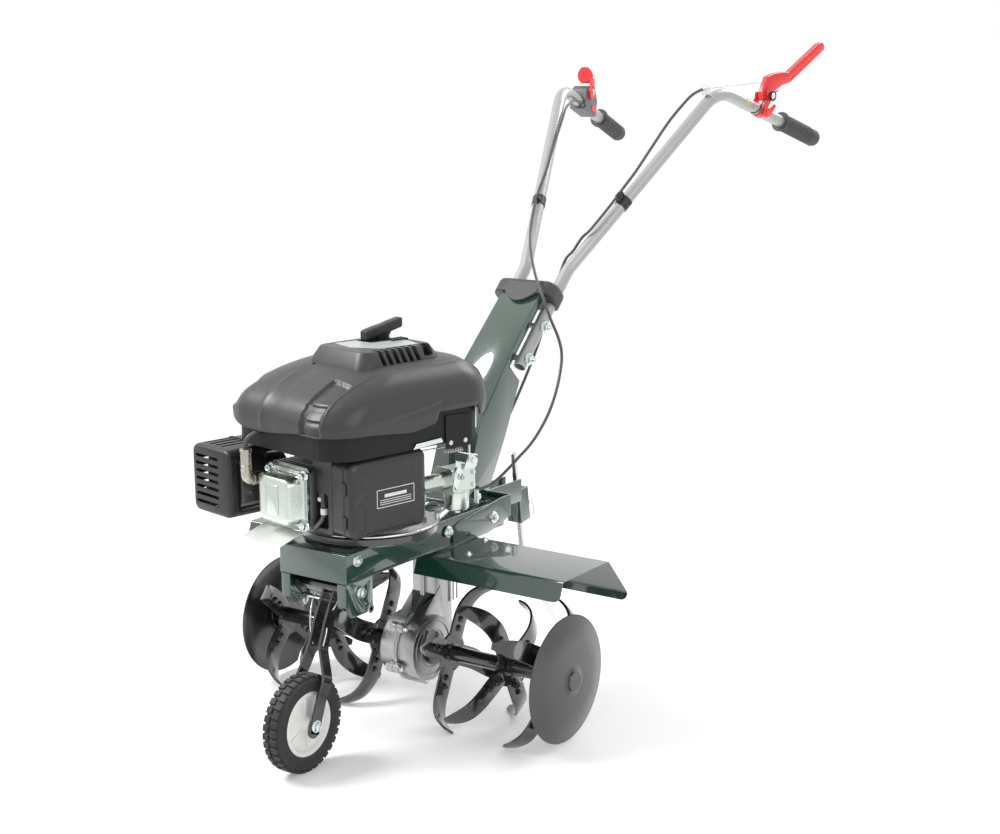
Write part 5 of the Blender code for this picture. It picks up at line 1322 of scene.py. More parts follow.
class CULTIVATOR_OT_engine(bpy.types.Operator):
    """Crankcase, finned head, bright head cover, silencer and its guard"""
    bl_idname = "cultivator.engine"
    bl_label = "Engine"

    def execute(self, context):
        alloy = finish_named("cast_alloy")
        bright = finish_named("bright_cover")
        zinc = finish_named("zinc")
        black = finish_named("black_plastic")
        refined("engine_base", alloy, "chassis", 0.0009)
        rim = turned(((0.0900, 0.3322), (0.1060, 0.3322), (0.1078, 0.3340), (0.1078, 0.3432),
                      (0.1066, 0.3444), (0.0900, 0.3444)), sides=96)
        finish("base_band", rim, finish_named("black_enamel"), "chassis", (),
               ENGINE)
        fin = skin([[Vector((x + HEAD_X, y, z)) for x, z in
                     rounded(0.0455, 0.0495, 0.006, (0.0, 0.4060), 4)] for y in
                    (-0.1352, -0.1338)])
        repeated("cylinder_fins", fin, "row", {"Count": 11, "Step": (0, 0.0076, 0)}, alloy,
                 "chassis", ENGINE)

        levels = ((-0.1362, 0.0455, 0.0435, 0.007), (-0.1405, 0.0458, 0.0438, 0.007),
                  (-0.1412, 0.0400, 0.0385, 0.011), (-0.1440, 0.0386, 0.0368, 0.012),
                  (-0.1640, 0.0380, 0.0360, 0.012), (-0.1682, 0.0366, 0.0346, 0.012),
                  (-0.1706, 0.0330, 0.0312, 0.011), (-0.1712, 0.0290, 0.0272, 0.009))
        dome = skin([[Vector((x + HEAD_X, y, z)) for x, z in
                      rounded(hx, hz, r, (0.0, 0.4060), 8)] for y, hx, hz, r in levels])
        finish("head_cover", dome, bright, "chassis", ("valve_cover",), ENGINE,
               0.0006)
        panel = skin([[Vector((x + HEAD_X, y, z)) for x, z in
                       rounded(hx, hz, 0.006, (0.0, 0.4060), 6)] for y, hx, hz in
                      ((-0.1705, 0.0150, 0.0240), (-0.1722, 0.0150, 0.0240),
                       (-0.1727, 0.0142, 0.0232))])
        finish("head_cover_panel", panel, bright, "chassis", (), ENGINE, 0.0003)
        spots = [((HEAD_X + x, -0.1410, z), (0, -1, 0)) for x in (-0.041, 0.041)
                 for z in (0.445, 0.368)]
        bolts("head_bolts", spots, zinc, "chassis", 0.0060, 0.0075, 0.0088, 0.0014, ENGINE)

        slot_high = context.scene.cultivator_sizes.guard_slot
        outline = rounded(0.050, 0.054, 0.014, (-0.1580, 0.4140), 8)
        inside = rounded(0.0478, 0.0518, 0.012, (-0.1580, 0.4140), 8)
        rings = [[Vector((x, y, z)) for x, z in
                  rounded(0.050 - s, 0.054 - s, 0.014 - s, (-0.1580, 0.4140), 8)]
                 for y, s in ((-0.1866, 0.0050), (-0.1852, 0.0022), (-0.1830, 0.0006),
                              (-0.1810, 0.0))]
        guard = skin(rings + [[Vector((x, -0.0950, z)) for x, z in outline]])
        hollow = skin([[Vector((x, y, z)) for x, z in inside] for y in (-0.1834, -0.0700)])
        tools = [box((-0.1300, -0.1700, 0.3710), (-0.1000, -0.07, 0.4570))]
        for i in range(7):
            z = 0.3745 + 0.0122 * i
            tools.append(prism([(zz, xx) for xx, zz in
                                rounded(0.0300, slot_high / 2, slot_high / 2.2,
                                        (-0.1680, z + slot_high / 2), 3)],
                               -0.20, -0.1780, "Y"))
            tools.append(box((-0.2200, -0.1700, z), (-0.2000, -0.1120, z + slot_high)))
        for i in range(4):
            x = -0.1960 + 0.0150 * i
            tools.append(box((x, -0.1720, 0.4600), (x + 0.0060, -0.1200, 0.4800)))
            tools.append(box((x, -0.1720, 0.3500), (x + 0.0060, -0.1200, 0.3680)))
        guard = cut(cut(guard, hollow), gather(*tools))
        finish("silencer_guard", guard, black, "chassis", ("muffler_guard",),
               ENGINE, 0.0005)
        frame_ring = [[Vector((x, y, z)) for x, z in
                       rounded(0.0512 - s, 0.0552 - s, 0.014, (-0.1580, 0.4140), 8)]
                      for y, s in ((-0.1200, 0.0), (-0.1160, 0.0), (-0.1160, 0.0030),
                                   (-0.1200, 0.0030))]
        finish("guard_band", skin(frame_ring, closed=True), black, "chassis", (),
               ENGINE, 0.0004)
        refined("muffler", finish_named("dark_enamel"), "chassis", 0.0016)

        elbow = filleted([(-0.0720, -0.1500, 0.4300), (-0.0720, -0.1800, 0.4300),
                          (-0.0720, -0.1800, 0.4760)], (0.0080,), 6)
        boot = gather(bar(elbow, 0.0082, 28),
                      rod(0.0092, 0.4735, 0.4780, "Z", (-0.0720, -0.1800), 28),
                      rod(0.0089, 0.4440, 0.4462, "Z", (-0.0720, -0.1800), 28),
                      rod(0.0089, 0.4520, 0.4532, "Z", (-0.0720, -0.1800), 28),
                      rod(0.0098, -0.1700, -0.1515, "Y", (0.4300, -0.0720), 28))
        finish("plug_boot_skin", boot, finish_named("boot_alloy"), "chassis",
               ("spark_plug_boot",), ENGINE, 0.0006)
        lead = wire([(-0.0720, -0.1800, 0.4770), (-0.0722, -0.1796, 0.4860),
                     (-0.0700, -0.1740, 0.4960), (-0.0640, -0.1560, 0.5060)], 0.0036, 14)
        finish("plug_lead", lead, finish_named("cable_sheath"), "chassis", (), ENGINE)

        sheet = [(-0.1880, 0.3392), (-0.1850, 0.3407), (-0.1500, 0.3520), (-0.1390, 0.3532)]
        plates = []
        for low, high, lift in ((HEAD_X - 0.060, HEAD_X - 0.014, 0.0), (HEAD_X - 0.013,
                                                                      HEAD_X + 0.036, 0.0012)):
            upper = [(y, z + lift + 0.0012) for y, z in sheet]
            lower = [(y, z + lift) for y, z in sheet][::-1]
            plates.append(prism(upper + lower, low, high, "X"))
        finish("heat_plates", gather(*plates), finish_named("heat_plate"), "chassis", ("heat_deflector",),
               ENGINE, 0.0003)
        strip = prism(((-0.0500, 0.4790), (0.0900, 0.4860), (0.0900, 0.4880), (-0.0500, 0.4808)),
                      0.1010, 0.1120, "X")
        tab = prism(((-0.0100, 0.4800), (0.0500, 0.4830), (0.0460, 0.4900), (-0.0040, 0.4880)),
                    0.1195, 0.1206, "X")
        finish("governor_plate", gather(strip, tab), zinc, "chassis", (), ENGINE,
               0.0003)
        bracket = gather(prism(((0.0560, 0.4700), (0.1080, 0.4700), (0.1080, 0.5200),
                                (0.0560, 0.5230)), 0.1185, 0.1200, "X"))
        # The tank bracket takes the same extra dark black that paints the shade on the blower housing.
        finish("tank_bracket", bracket, finish_named("shroud_painted_shade"), "chassis", (), ENGINE, 0.0004)
        bolts("bracket_rivets", [((0.1200, 0.0960, 0.4790), (1, 0, 0)),
                                 ((0.1200, 0.0660, 0.4790), (1, 0, 0))], zinc, "chassis",
              0.0026, 0.0016, 0.0038, 0.0005, ENGINE)
        return {"FINISHED"}


# ---- air filter and carburettor --------------------------------------------------------------
FILTER_Y = (-0.1270, 0.0215)
FILTER_Z = (0.3580, 0.4780)
FILTER_FACE = 0.1150
LABEL = ((-0.0785, 0.4000), (-0.0055, 0.4280))      # low and high corner on the face


def filter_outline(inset, slope=0.010):
    """Side view of the filter box: its top falls a little towards the front."""
    low_y, high_y = FILTER_Y[0] + inset, FILTER_Y[1] - inset
    low_z, high_z = FILTER_Z[0] + inset, FILTER_Z[1] - inset
    radius = max(0.0140 - inset * 0.5, 0.004)
    outline = []
    for y, z in rounded((high_y - low_y) / 2, (high_z - low_z) / 2, radius,
                        ((low_y + high_y) / 2, (low_z + high_z) / 2), 8):
        share = (y - low_y) / (high_y - low_y)
        outline.append((y, z - slope * 0.25 * (1 - share) if z > 0.43 else z))
    return outline


class CULTIVATOR_OT_air_filter(bpy.types.Operator):
    """Air-filter box with its hinged cover, creases and plain label"""
    bl_idname = "cultivator.air_filter"
    bl_label = "Air Filter"

    def execute(self, context):
        plastic = finish_named("filter_plastic")
        steps = ((0.0703, 0.0), (0.0958, 0.0), (0.0966, 0.0014), (0.0980, 0.0014),
                 (0.0988, 0.0), (0.1070, 0.0002), (0.1098, 0.0010), (0.1128, 0.0040),
                 (0.1146, 0.0076), (FILTER_FACE, 0.0110))
        shell = skin([[Vector((x, y, z)) for y, z in filter_outline(s)] for x, s in steps])
        hollow = skin([[Vector((x, y, z)) for y, z in filter_outline(0.0028)]
                       for x in (0.0600, 0.1115)])
        shell = cut(shell, hollow)
        scoops = []
        for y, z, turn in ((-0.1080, 0.3900, 0.0), (0.0050, 0.3850, 0.0)):
            scoops.append(prism(rounded(0.0080, 0.0200, 0.004, (y, z), 4), 0.1138, 0.1200, "X"))
        shell = cut(shell, gather(*scoops))
        finish("filter_cover_skin", shell, plastic, "filter_lid", ("air_filter_cover",),
               ENGINE, 0.0006)
        creases = []
        for a, b in (((-0.1020, 0.4600), (-0.0860, 0.4250)), ((-0.0300, 0.4690), (-0.0360, 0.4380)),
                     ((0.0000, 0.4680), (-0.0060, 0.4400)), ((-0.1180, 0.4080), (-0.1040, 0.4300)),
                     ((0.0150, 0.4090), (0.0040, 0.4330))):
            run = (Vector((0, *b)) - Vector((0, *a))).normalized()
            across = Vector((0, -run.z, run.y))
            base = [Vector((0.1142, *a)), Vector((0.1142, *b))]
            ring = [[p - across * 0.0050, p + Vector((0.0019, 0, 0)), p + across * 0.0030,
                     p - Vector((0.001, 0, 0))] for p in base]
            creases.append(skin(ring))
        finish("filter_cover_creases", gather(*creases), plastic, "filter_lid", (),
               ENGINE, 0.0007)
        loops = []
        for z in (0.3740, 0.4250):
            loops.append(rod(0.0030, z, z + 0.0200, centre=(0.0985, -0.1280), sides=20))
            loops.append(box((0.0920, -0.1300, z + 0.001), (0.1040, -0.1262, z + 0.019)))
        loops.append(box((0.0745, -0.1276, 0.3700), (0.0940, -0.1262, 0.3716)))
        finish("filter_hinge_loops", gather(*loops), plastic, "filter_lid", (),
               ENGINE, 0.0006)
        (y0, z0), (y1, z1) = LABEL
        line = 0.0011
        frame_bits = [box((0.1149, y0, z0), (0.11535, y1, z0 + line)),
                      box((0.1149, y0, z1 - line), (0.11535, y1, z1)),
                      box((0.1149, y0, z0 + line), (0.11535, y0 + line, z1 - line)),
                      box((0.1149, y1 - line, z0 + line), (0.11535, y1, z1 - line))]
        frame_bits.append(box((0.1149, y0 + 0.0150, z0 + 0.0150), (0.11530, y1 - 0.0150,
                                                                  z0 + 0.0200)))
        for i in range(3):
            z = z0 + 0.0045 + 0.0032 * i
            frame_bits.append(box((0.1149, y0 + 0.0060, z), (0.11530, y1 - 0.0060, z + 0.0010)))
        finish("filter_label", gather(*frame_bits), finish_named("label_print"), "filter_lid", (),
               ENGINE)

        plate = skin([[Vector((x, y, z)) for y, z in filter_outline(s)] for x, s in
                      ((0.0664, 0.0), (0.0698, 0.0))])
        case_box = skin([[Vector((x, y, z)) for x, z in
                          rounded(0.0235, 0.0592, 0.007, (0.0463, 0.4180), 6)]
                         for y in (-0.1268, -0.0660)])
        recess = skin([[Vector((x, y, z)) for x, z in
                        rounded(0.0150, 0.0270, 0.006, (0.0440, 0.3930), 4)]
                       for y in (-0.1300, -0.1130)])
        case = gather(cut(case_box, recess), plate)
        finish("filter_case_body", case, plastic, "chassis", ("air_filter_case",),
               ENGINE, 0.0007)
        clothe(finish_named("foam"), "filter_element")
        plug = gather(box((0.0340, -0.1250, 0.4040), (0.0460, -0.1120, 0.4200)),
                      rod(0.0050, 0.3950, 0.4040, "Z", (0.0400, -0.1200), 16))
        finish("switch_plug", plug, finish_named("cable_sheath"), "chassis", (), ENGINE,
               0.0006)
        socket = gather(box((0.0330, -0.1262, 0.4060), (0.0400, -0.1240, 0.4120)),
                        rod(0.0058, 0.3860, 0.3950, "Z", (0.0420, -0.1210), 16))
        finish("switch_socket", socket, finish_named("white_plastic"), "chassis", (),
               ENGINE, 0.0005)
        hose = wire([(0.0420, -0.1210, 0.3880), (0.0410, -0.1255, 0.3780),
                     (0.0330, -0.1290, 0.3680), (0.0200, -0.1260, 0.3600),
                     (0.0080, -0.1180, 0.3540)], 0.0032, 14)
        finish("breather_hose", hose, finish_named("grey_plastic"), "chassis", (),
               ENGINE)
        bolts("filter_screws", [((0.1010, 0.0216, 0.3700), (0, 1, 0))], finish_named("zinc"),
              "chassis", 0.0036, 0.0028, 0.0050, 0.0007, ENGINE)
        arc = []
        for i in range(25):
            a = math.radians(-70 + 5.4 * i)
            arc.append(Vector((0.1085 * math.cos(a), 0.1085 * math.sin(a), 0.3480)))
        finish("blower_ring", bar(arc, 0.0020, 12), finish_named("bright_cover"), "chassis", (),
               ENGINE)
        return {"FINISHED"}


CARB = Vector((0.0780, 0.1140, 0.4080))


class CULTIVATOR_OT_carburettor(bpy.types.Operator):
    """Carburettor with its bowl, nipples, throttle arm and governor linkage"""
    bl_idname = "cultivator.carburettor"
    bl_label = "Carburettor"

    def execute(self, context):
        x, y, z = CARB
        alloy = finish_named("bright_cover")
        zinc = finish_named("zinc")
        levels = ((z - 0.0500, 0.0150), (z - 0.0490, 0.0178), (z - 0.0460, 0.0196),
                  (z - 0.0200, 0.0205), (z - 0.0196, 0.0222), (z - 0.0170, 0.0222))
        bowl = skin([[Vector((x + r * math.cos(math.tau * i / 36),
                              y + r * math.sin(math.tau * i / 36), h)) for i in range(36)]
                     for h, r in levels])
        body = skin([[Vector((x + a, y + b, h)) for a, b in rounded(0.0195, 0.0255, 0.006)]
                     for h in (z - 0.0172, z + 0.0178)])
        body = cut(body, rod(0.0034, z + 0.0060, 0.45, centre=(x, y + 0.0080), sides=16))
        flange = prism([(zz, xx) for xx, zz in rounded(0.0230, 0.0210, 0.008, (x, z), 5)],
                       y - 0.0280, y - 0.0245, "Y")
        intake = rod(0.0140, 0.0235, y - 0.0240, "Y", (z, x), 28)
        screws = [rod(0.0034, x + 0.0180, x + 0.0225, "X", (y + b, z + c), 14)
                  for b, c in ((-0.018, -0.010), (0.018, -0.010), (0.018, 0.010))]
        nipple = turned(((0.0012, x + 0.0180), (0.0040, x + 0.0180), (0.0040, x + 0.0260),
                         (0.0050, x + 0.0275), (0.0036, x + 0.0310), (0.0012, x + 0.0310)), "X",
                        (y - 0.0120, z + 0.0080), 20)
        nut = rod(0.0056, z - 0.0560, z - 0.0495, centre=(x, y), sides=6)
        finish("carburettor_body", gather(bowl, body, flange, intake, nipple, nut, *screws),
               alloy, "chassis", ("carburettor",), ENGINE, 0.0006)
        plates = [prism(((y - 0.004, z + 0.0182), (y + 0.022, z + 0.0182), (y + 0.026, z + 0.030),
                         (y + 0.016, z + 0.040), (y + 0.006, z + 0.040)), x + 0.0215, x + 0.0228,
                        "X"),
                  prism(((y - 0.028, z - 0.004), (y - 0.020, z - 0.012), (y - 0.012, z + 0.010),
                         (y - 0.012, z + 0.030), (y - 0.022, z + 0.036)), x + 0.0232,
                        x + 0.0246, "X"),
                  rod(0.0058, x + 0.0240, x + 0.0290, "X", (y - 0.020, z + 0.020), 24),
                  rod(0.0046, x + 0.0226, x + 0.0270, "X", (y + 0.016, z + 0.030), 24)]
        finish("linkage_plates", gather(*plates), zinc, "chassis", (), ENGINE,
               0.0004)
        rods = [wire([(x + 0.0250, y - 0.120, z + 0.0640), (x + 0.0250, y - 0.060, z + 0.0620),
                      (x + 0.0240, y + 0.0060, z + 0.0600)], 0.0011),
                wire([(x + 0.0240, y + 0.0060, z + 0.0700), (x + 0.0240, y + 0.0060, z + 0.0300)],
                     0.0018, 10, 0.004),
                wire([(x + 0.0240, y - 0.0200, z + 0.0500), (x + 0.0262, y - 0.0020, z + 0.0440),
                      (x + 0.0250, y + 0.0220, z + 0.0380)], 0.0012)]
        turns = []
        for i in range(140):
            a = math.tau * i / 14
            turns.append(Vector((x + 0.0262 + 0.0028 * math.cos(a), y - 0.0460 + 0.00026 * i,
                                 z + 0.0530 + 0.0028 * math.sin(a))))
        rods.append(bar(turns, 0.0005, 6))
        finish("linkage_rods", gather(*rods), finish_named("bright_steel"), "chassis", (),
               ENGINE)
        refined("throttle_arm", zinc, "throttle_valve", 0.0003)
        clamp = gather(box((x + 0.0150, y + 0.0240, z - 0.0420), (x + 0.0230, y + 0.0270,
                                                                 z - 0.0200)),
                       rod(0.0052, y + 0.0270, y + 0.0310, "Y", (z - 0.0320, x + 0.0190), 20))
        finish("cable_clamp", clamp, zinc, "chassis", (), ENGINE, 0.0004)
        return {"FINISHED"}


# ---- rotors ----------------------------------------------------------------------------------
BLADE_TABLE = (      # radius, bend share, sweep share, half width
    (0.022, 0.00, 0.00, 0.0175), (0.058, 0.00, 0.00, 0.0175), (0.082, 0.06, 0.25, 0.0165),
    (0.104, 0.26, 0.55, 0.0150), (0.118, 0.62, 0.80, 0.0115), (0.125, 1.00, 1.00, 0.0045))
BLADES = 4
BLADE_SWEEP = math.radians(9.0)
BLADE_BEND = 0.050
BLADE_HALF = 0.0020
LOWEST_TIP = math.radians(34.05)
AXLE = (0.0, AXLE_Z)


def eased_rows(table, steps):
    """Rows between the given ones, on smooth curves through them."""
    rows = []
    ends = [table[0]] + list(table) + [table[-1]]
    for a, b, c, d in zip(ends, ends[1:], ends[2:], ends[3:]):
        for i in range(steps):
            t = i / steps
            rows.append([0.5 * (2 * q + (r - p) * t + (2 * p - 5 * q + 4 * r - s) * t ** 2
                                + (3 * q - p - 3 * r + s) * t ** 3)
                         for p, q, r, s in zip(a, b, c, d)])
    rows.append(list(table[-1]))
    return rows


def eased_edges(bm, width, angle=32.0):
    """Round the sharp edges of a shell."""
    bm.normal_update()
    limit = math.radians(angle)
    sharp = [e for e in bm.edges if len(e.link_faces) == 2 and e.calc_face_angle() > limit]
    bmesh.ops.bevel(bm, geom=sharp, offset=width, segments=2, affect="EDGES", profile=0.6,
                    clamp_overlap=True)
    return bm


def tine(star_x, angle, lean):
    """One curved tine around the origin; it bends sideways by lean and sweeps back with it."""
    rows = eased_rows(BLADE_TABLE, 5)
    centres = []
    for radius, bend, sweep, _ in rows:
        turn = angle + lean * sweep * BLADE_SWEEP
        centres.append(Vector((star_x + lean * bend * BLADE_BEND, radius * math.sin(turn),
                               radius * math.cos(turn))))
    stations = []
    last = len(rows) - 1
    for i, (centre, row) in enumerate(zip(centres, rows)):
        run = (centres[min(i + 1, last)] - centres[max(i - 1, 0)]).normalized()
        around = Vector((0, centre.z, -centre.y)).normalized()
        width = (around - run * around.dot(run)).normalized()
        stations.append((centre, width * row[3], run.cross(width) * BLADE_HALF))
    return eased_edges(ribbon(stations), 0.0007)


class CULTIVATOR_OT_rotors(bpy.types.Operator):
    """Tine stars on their sleeves, hub bolts, side discs and retaining pins"""
    bl_idname = "cultivator.tine_rotors"
    bl_label = "Tine Rotors"

    def execute(self, context):
        black = finish_named("black_enamel")
        disc_paint = finish_named("dark_enamel")
        zinc = finish_named("zinc")
        leans = (1, -1, -1)
        for side, word in ((1, "left"), (-1, "right")):
            for index, (star_x, lean) in enumerate(zip(STAR_X, leans)):
                tip = -LOWEST_TIP if index == 1 else LOWEST_TIP
                phase = math.pi + tip - lean * BLADE_SWEEP
                blade = tine(star_x, phase, lean)
                if side < 0:
                    mirrored(blade)
                repeated(f"tines_{word}_{index + 1}", blade, "ring",
                         {"Count": BLADES, "Axis": (1, 0, 0), "Centre": (0, 0, AXLE_Z)}, black,
                         "tine_rotors")
                spots = []
                for k in range(BLADES):
                    a = phase + k * math.tau / BLADES
                    for r in (0.041, 0.056):
                        for face in (1, -1):
                            spots.append(((side * (star_x + face * 0.0020), r * math.sin(a),
                                           AXLE_Z + r * math.cos(a)), (side * face, 0, 0)))
                bolts(f"tine_bolts_{word}_{index + 1}", spots, black, "tine_rotors", 0.0052,
                      0.0038, 0.0064, 0.0006)
            sleeve = turned(((0.0083, 0.0420), (0.0118, 0.0420), (0.0125, 0.0427),
                             (0.0125, 0.1988), (0.0118, 0.1995), (0.0083, 0.1995)), "X", AXLE, 40)
            hubs = [turned(((0.0120, x - 0.0019), (0.0325, x - 0.0019), (0.0330, x - 0.0014),
                            (0.0330, x + 0.0014), (0.0325, x + 0.0019), (0.0120, x + 0.0019)),
                           "X", AXLE, 56) for x in STAR_X]
            weld = [turned(((0.0110, x + 0.0015), (0.0160, x + 0.0019), (0.0140, x + 0.0034),
                            (0.0110, x + 0.0044)), "X", AXLE, 40) for x in STAR_X]
            inner = gather(sleeve, hubs[0], hubs[1], weld[0], weld[1])
            outer_tube = turned(((0.0002, 0.1400), (0.0077, 0.1400), (0.0077, 0.2000),
                                 (0.0125, 0.2000), (0.0125, 0.2950), (0.0255, 0.2950),
                                 (0.0260, 0.2955), (0.0260, 0.2985), (0.0255, 0.2990),
                                 (0.0002, 0.2990)), "X", AXLE, 40)
            outer = gather(outer_tube, hubs[2], weld[2])
            face = DISC_X - 0.0019
            profile = ((0.0002, 0.0020), (0.0300, 0.0020), (0.0560, 0.0010), (0.0800, -0.0030),
                       (0.1000, -0.0093), (0.1018, -0.0095), (0.1022, -0.0089),
                       (0.1020, -0.0072), (0.0980, -0.0063), (0.0800, -0.0004),
                       (0.0560, 0.0036), (0.0300, 0.0046), (0.0185, 0.0050), (0.0172, 0.0058),
                       (0.0166, 0.0086), (0.0150, 0.0099), (0.0002, 0.0100))
            disc = turned([(r, face + x) for r, x in profile], "X", AXLE, 96)
            pin = wire([(0.2070, 0.0, AXLE_Z + 0.0165), (0.2070, 0.0, AXLE_Z - 0.0190),
                        (0.2070, 0.0060, AXLE_Z - 0.0205), (0.2070, 0.0150, AXLE_Z - 0.0060),
                        (0.2070, 0.0138, AXLE_Z + 0.0080), (0.2070, 0.0170, AXLE_Z + 0.0150)],
                       0.0013)
            for name, bm, mat, nodes, slot in (
                    (f"inner_sleeve_{word}", inner, black, (f"inner_rotor_{word}",),
                     "black_enamel"),
                    (f"outer_sleeve_{word}", outer, black, (f"outer_rotor_{word}",),
                     "black_enamel"),
                    (f"side_plate_{word}", disc, disc_paint, (f"side_disc_{word}",),
                     "dark_enamel"),
                    (f"tine_hairpin_{word}", pin, zinc, (), "zinc_steel")):
                if side < 0:
                    mirrored(bm)
                finish(name, bm, mat, "tine_rotors", nodes)
        return {"FINISHED"}


DISC_X = 0.3037


class CULTIVATOR_OT_drive(bpy.types.Operator):
    """Gearbox halves with their flange bolts, and the drive inside the machine"""
    bl_idname = "cultivator.drive"
    bl_label = "Drive"

    def execute(self, context):
        alloy = finish_named("cast_alloy")
        zinc = finish_named("zinc")
        iron = finish_named("cast_iron")
        for word in ("left", "right"):
            refined(f"gearbox_{word}", alloy, "chassis", 0.0008)
        spots = []
        for y, z in ((-0.046, 0.150), (-0.058, 0.085), (0.010, 0.047), (0.070, 0.145)):
            spots += [((side * 0.0131, y, z), (side, 0, 0)) for side in (1, -1)]
        bolts("gearbox_bolts", spots, zinc, "chassis", 0.0048, 0.0040, 0.0062, 0.0008)
        ribs = []
        for side in (1, -1):
            for y in (0.0600, 0.0700, 0.0800):
                ribs.append(box((min(side * 0.0225, side * 0.0250), y, 0.1700),
                                (max(side * 0.0225, side * 0.0250), y + 0.0022, 0.2660)))
            for radius in (0.0300, 0.0440):
                ribs.append(turned([(r, side * x) for r, x in
                                    ((radius, 0.0330), (radius + 0.0022, 0.0330),
                                     (radius + 0.0016, 0.0352), (radius + 0.0006, 0.0352))], "X",
                                   AXLE, 56))
        finish("gearbox_ribs", gather(*ribs), alloy, "chassis", (),
               edge=0.0004)
        seals = [turned([(r, side * x) for r, x in ((0.0150, 0.0340), (0.0262, 0.0340),
                                                    (0.0262, 0.0384), (0.0235, 0.0396),
                                                    (0.0150, 0.0396))], "X", AXLE, 48)
                 for side in (1, -1)]
        finish("axle_seals", gather(*seals), finish_named("black_enamel"), "chassis", ())
        clothe(iron, "driven_pulley", "idler_pulley")
        clothe(finish_named("bronze"), "worm_wheel")
        clothe(finish_named("bright_steel"), "tine_axle")
        clothe(finish_named("cable_sheath"), "drive_belt")
        return {"FINISHED"}


# ---- wheel and stake -------------------------------------------------------------------------
WHEEL_RADIUS = 0.0760
WHEEL_HALF = 0.0167
RIM_RADIUS = 0.0500


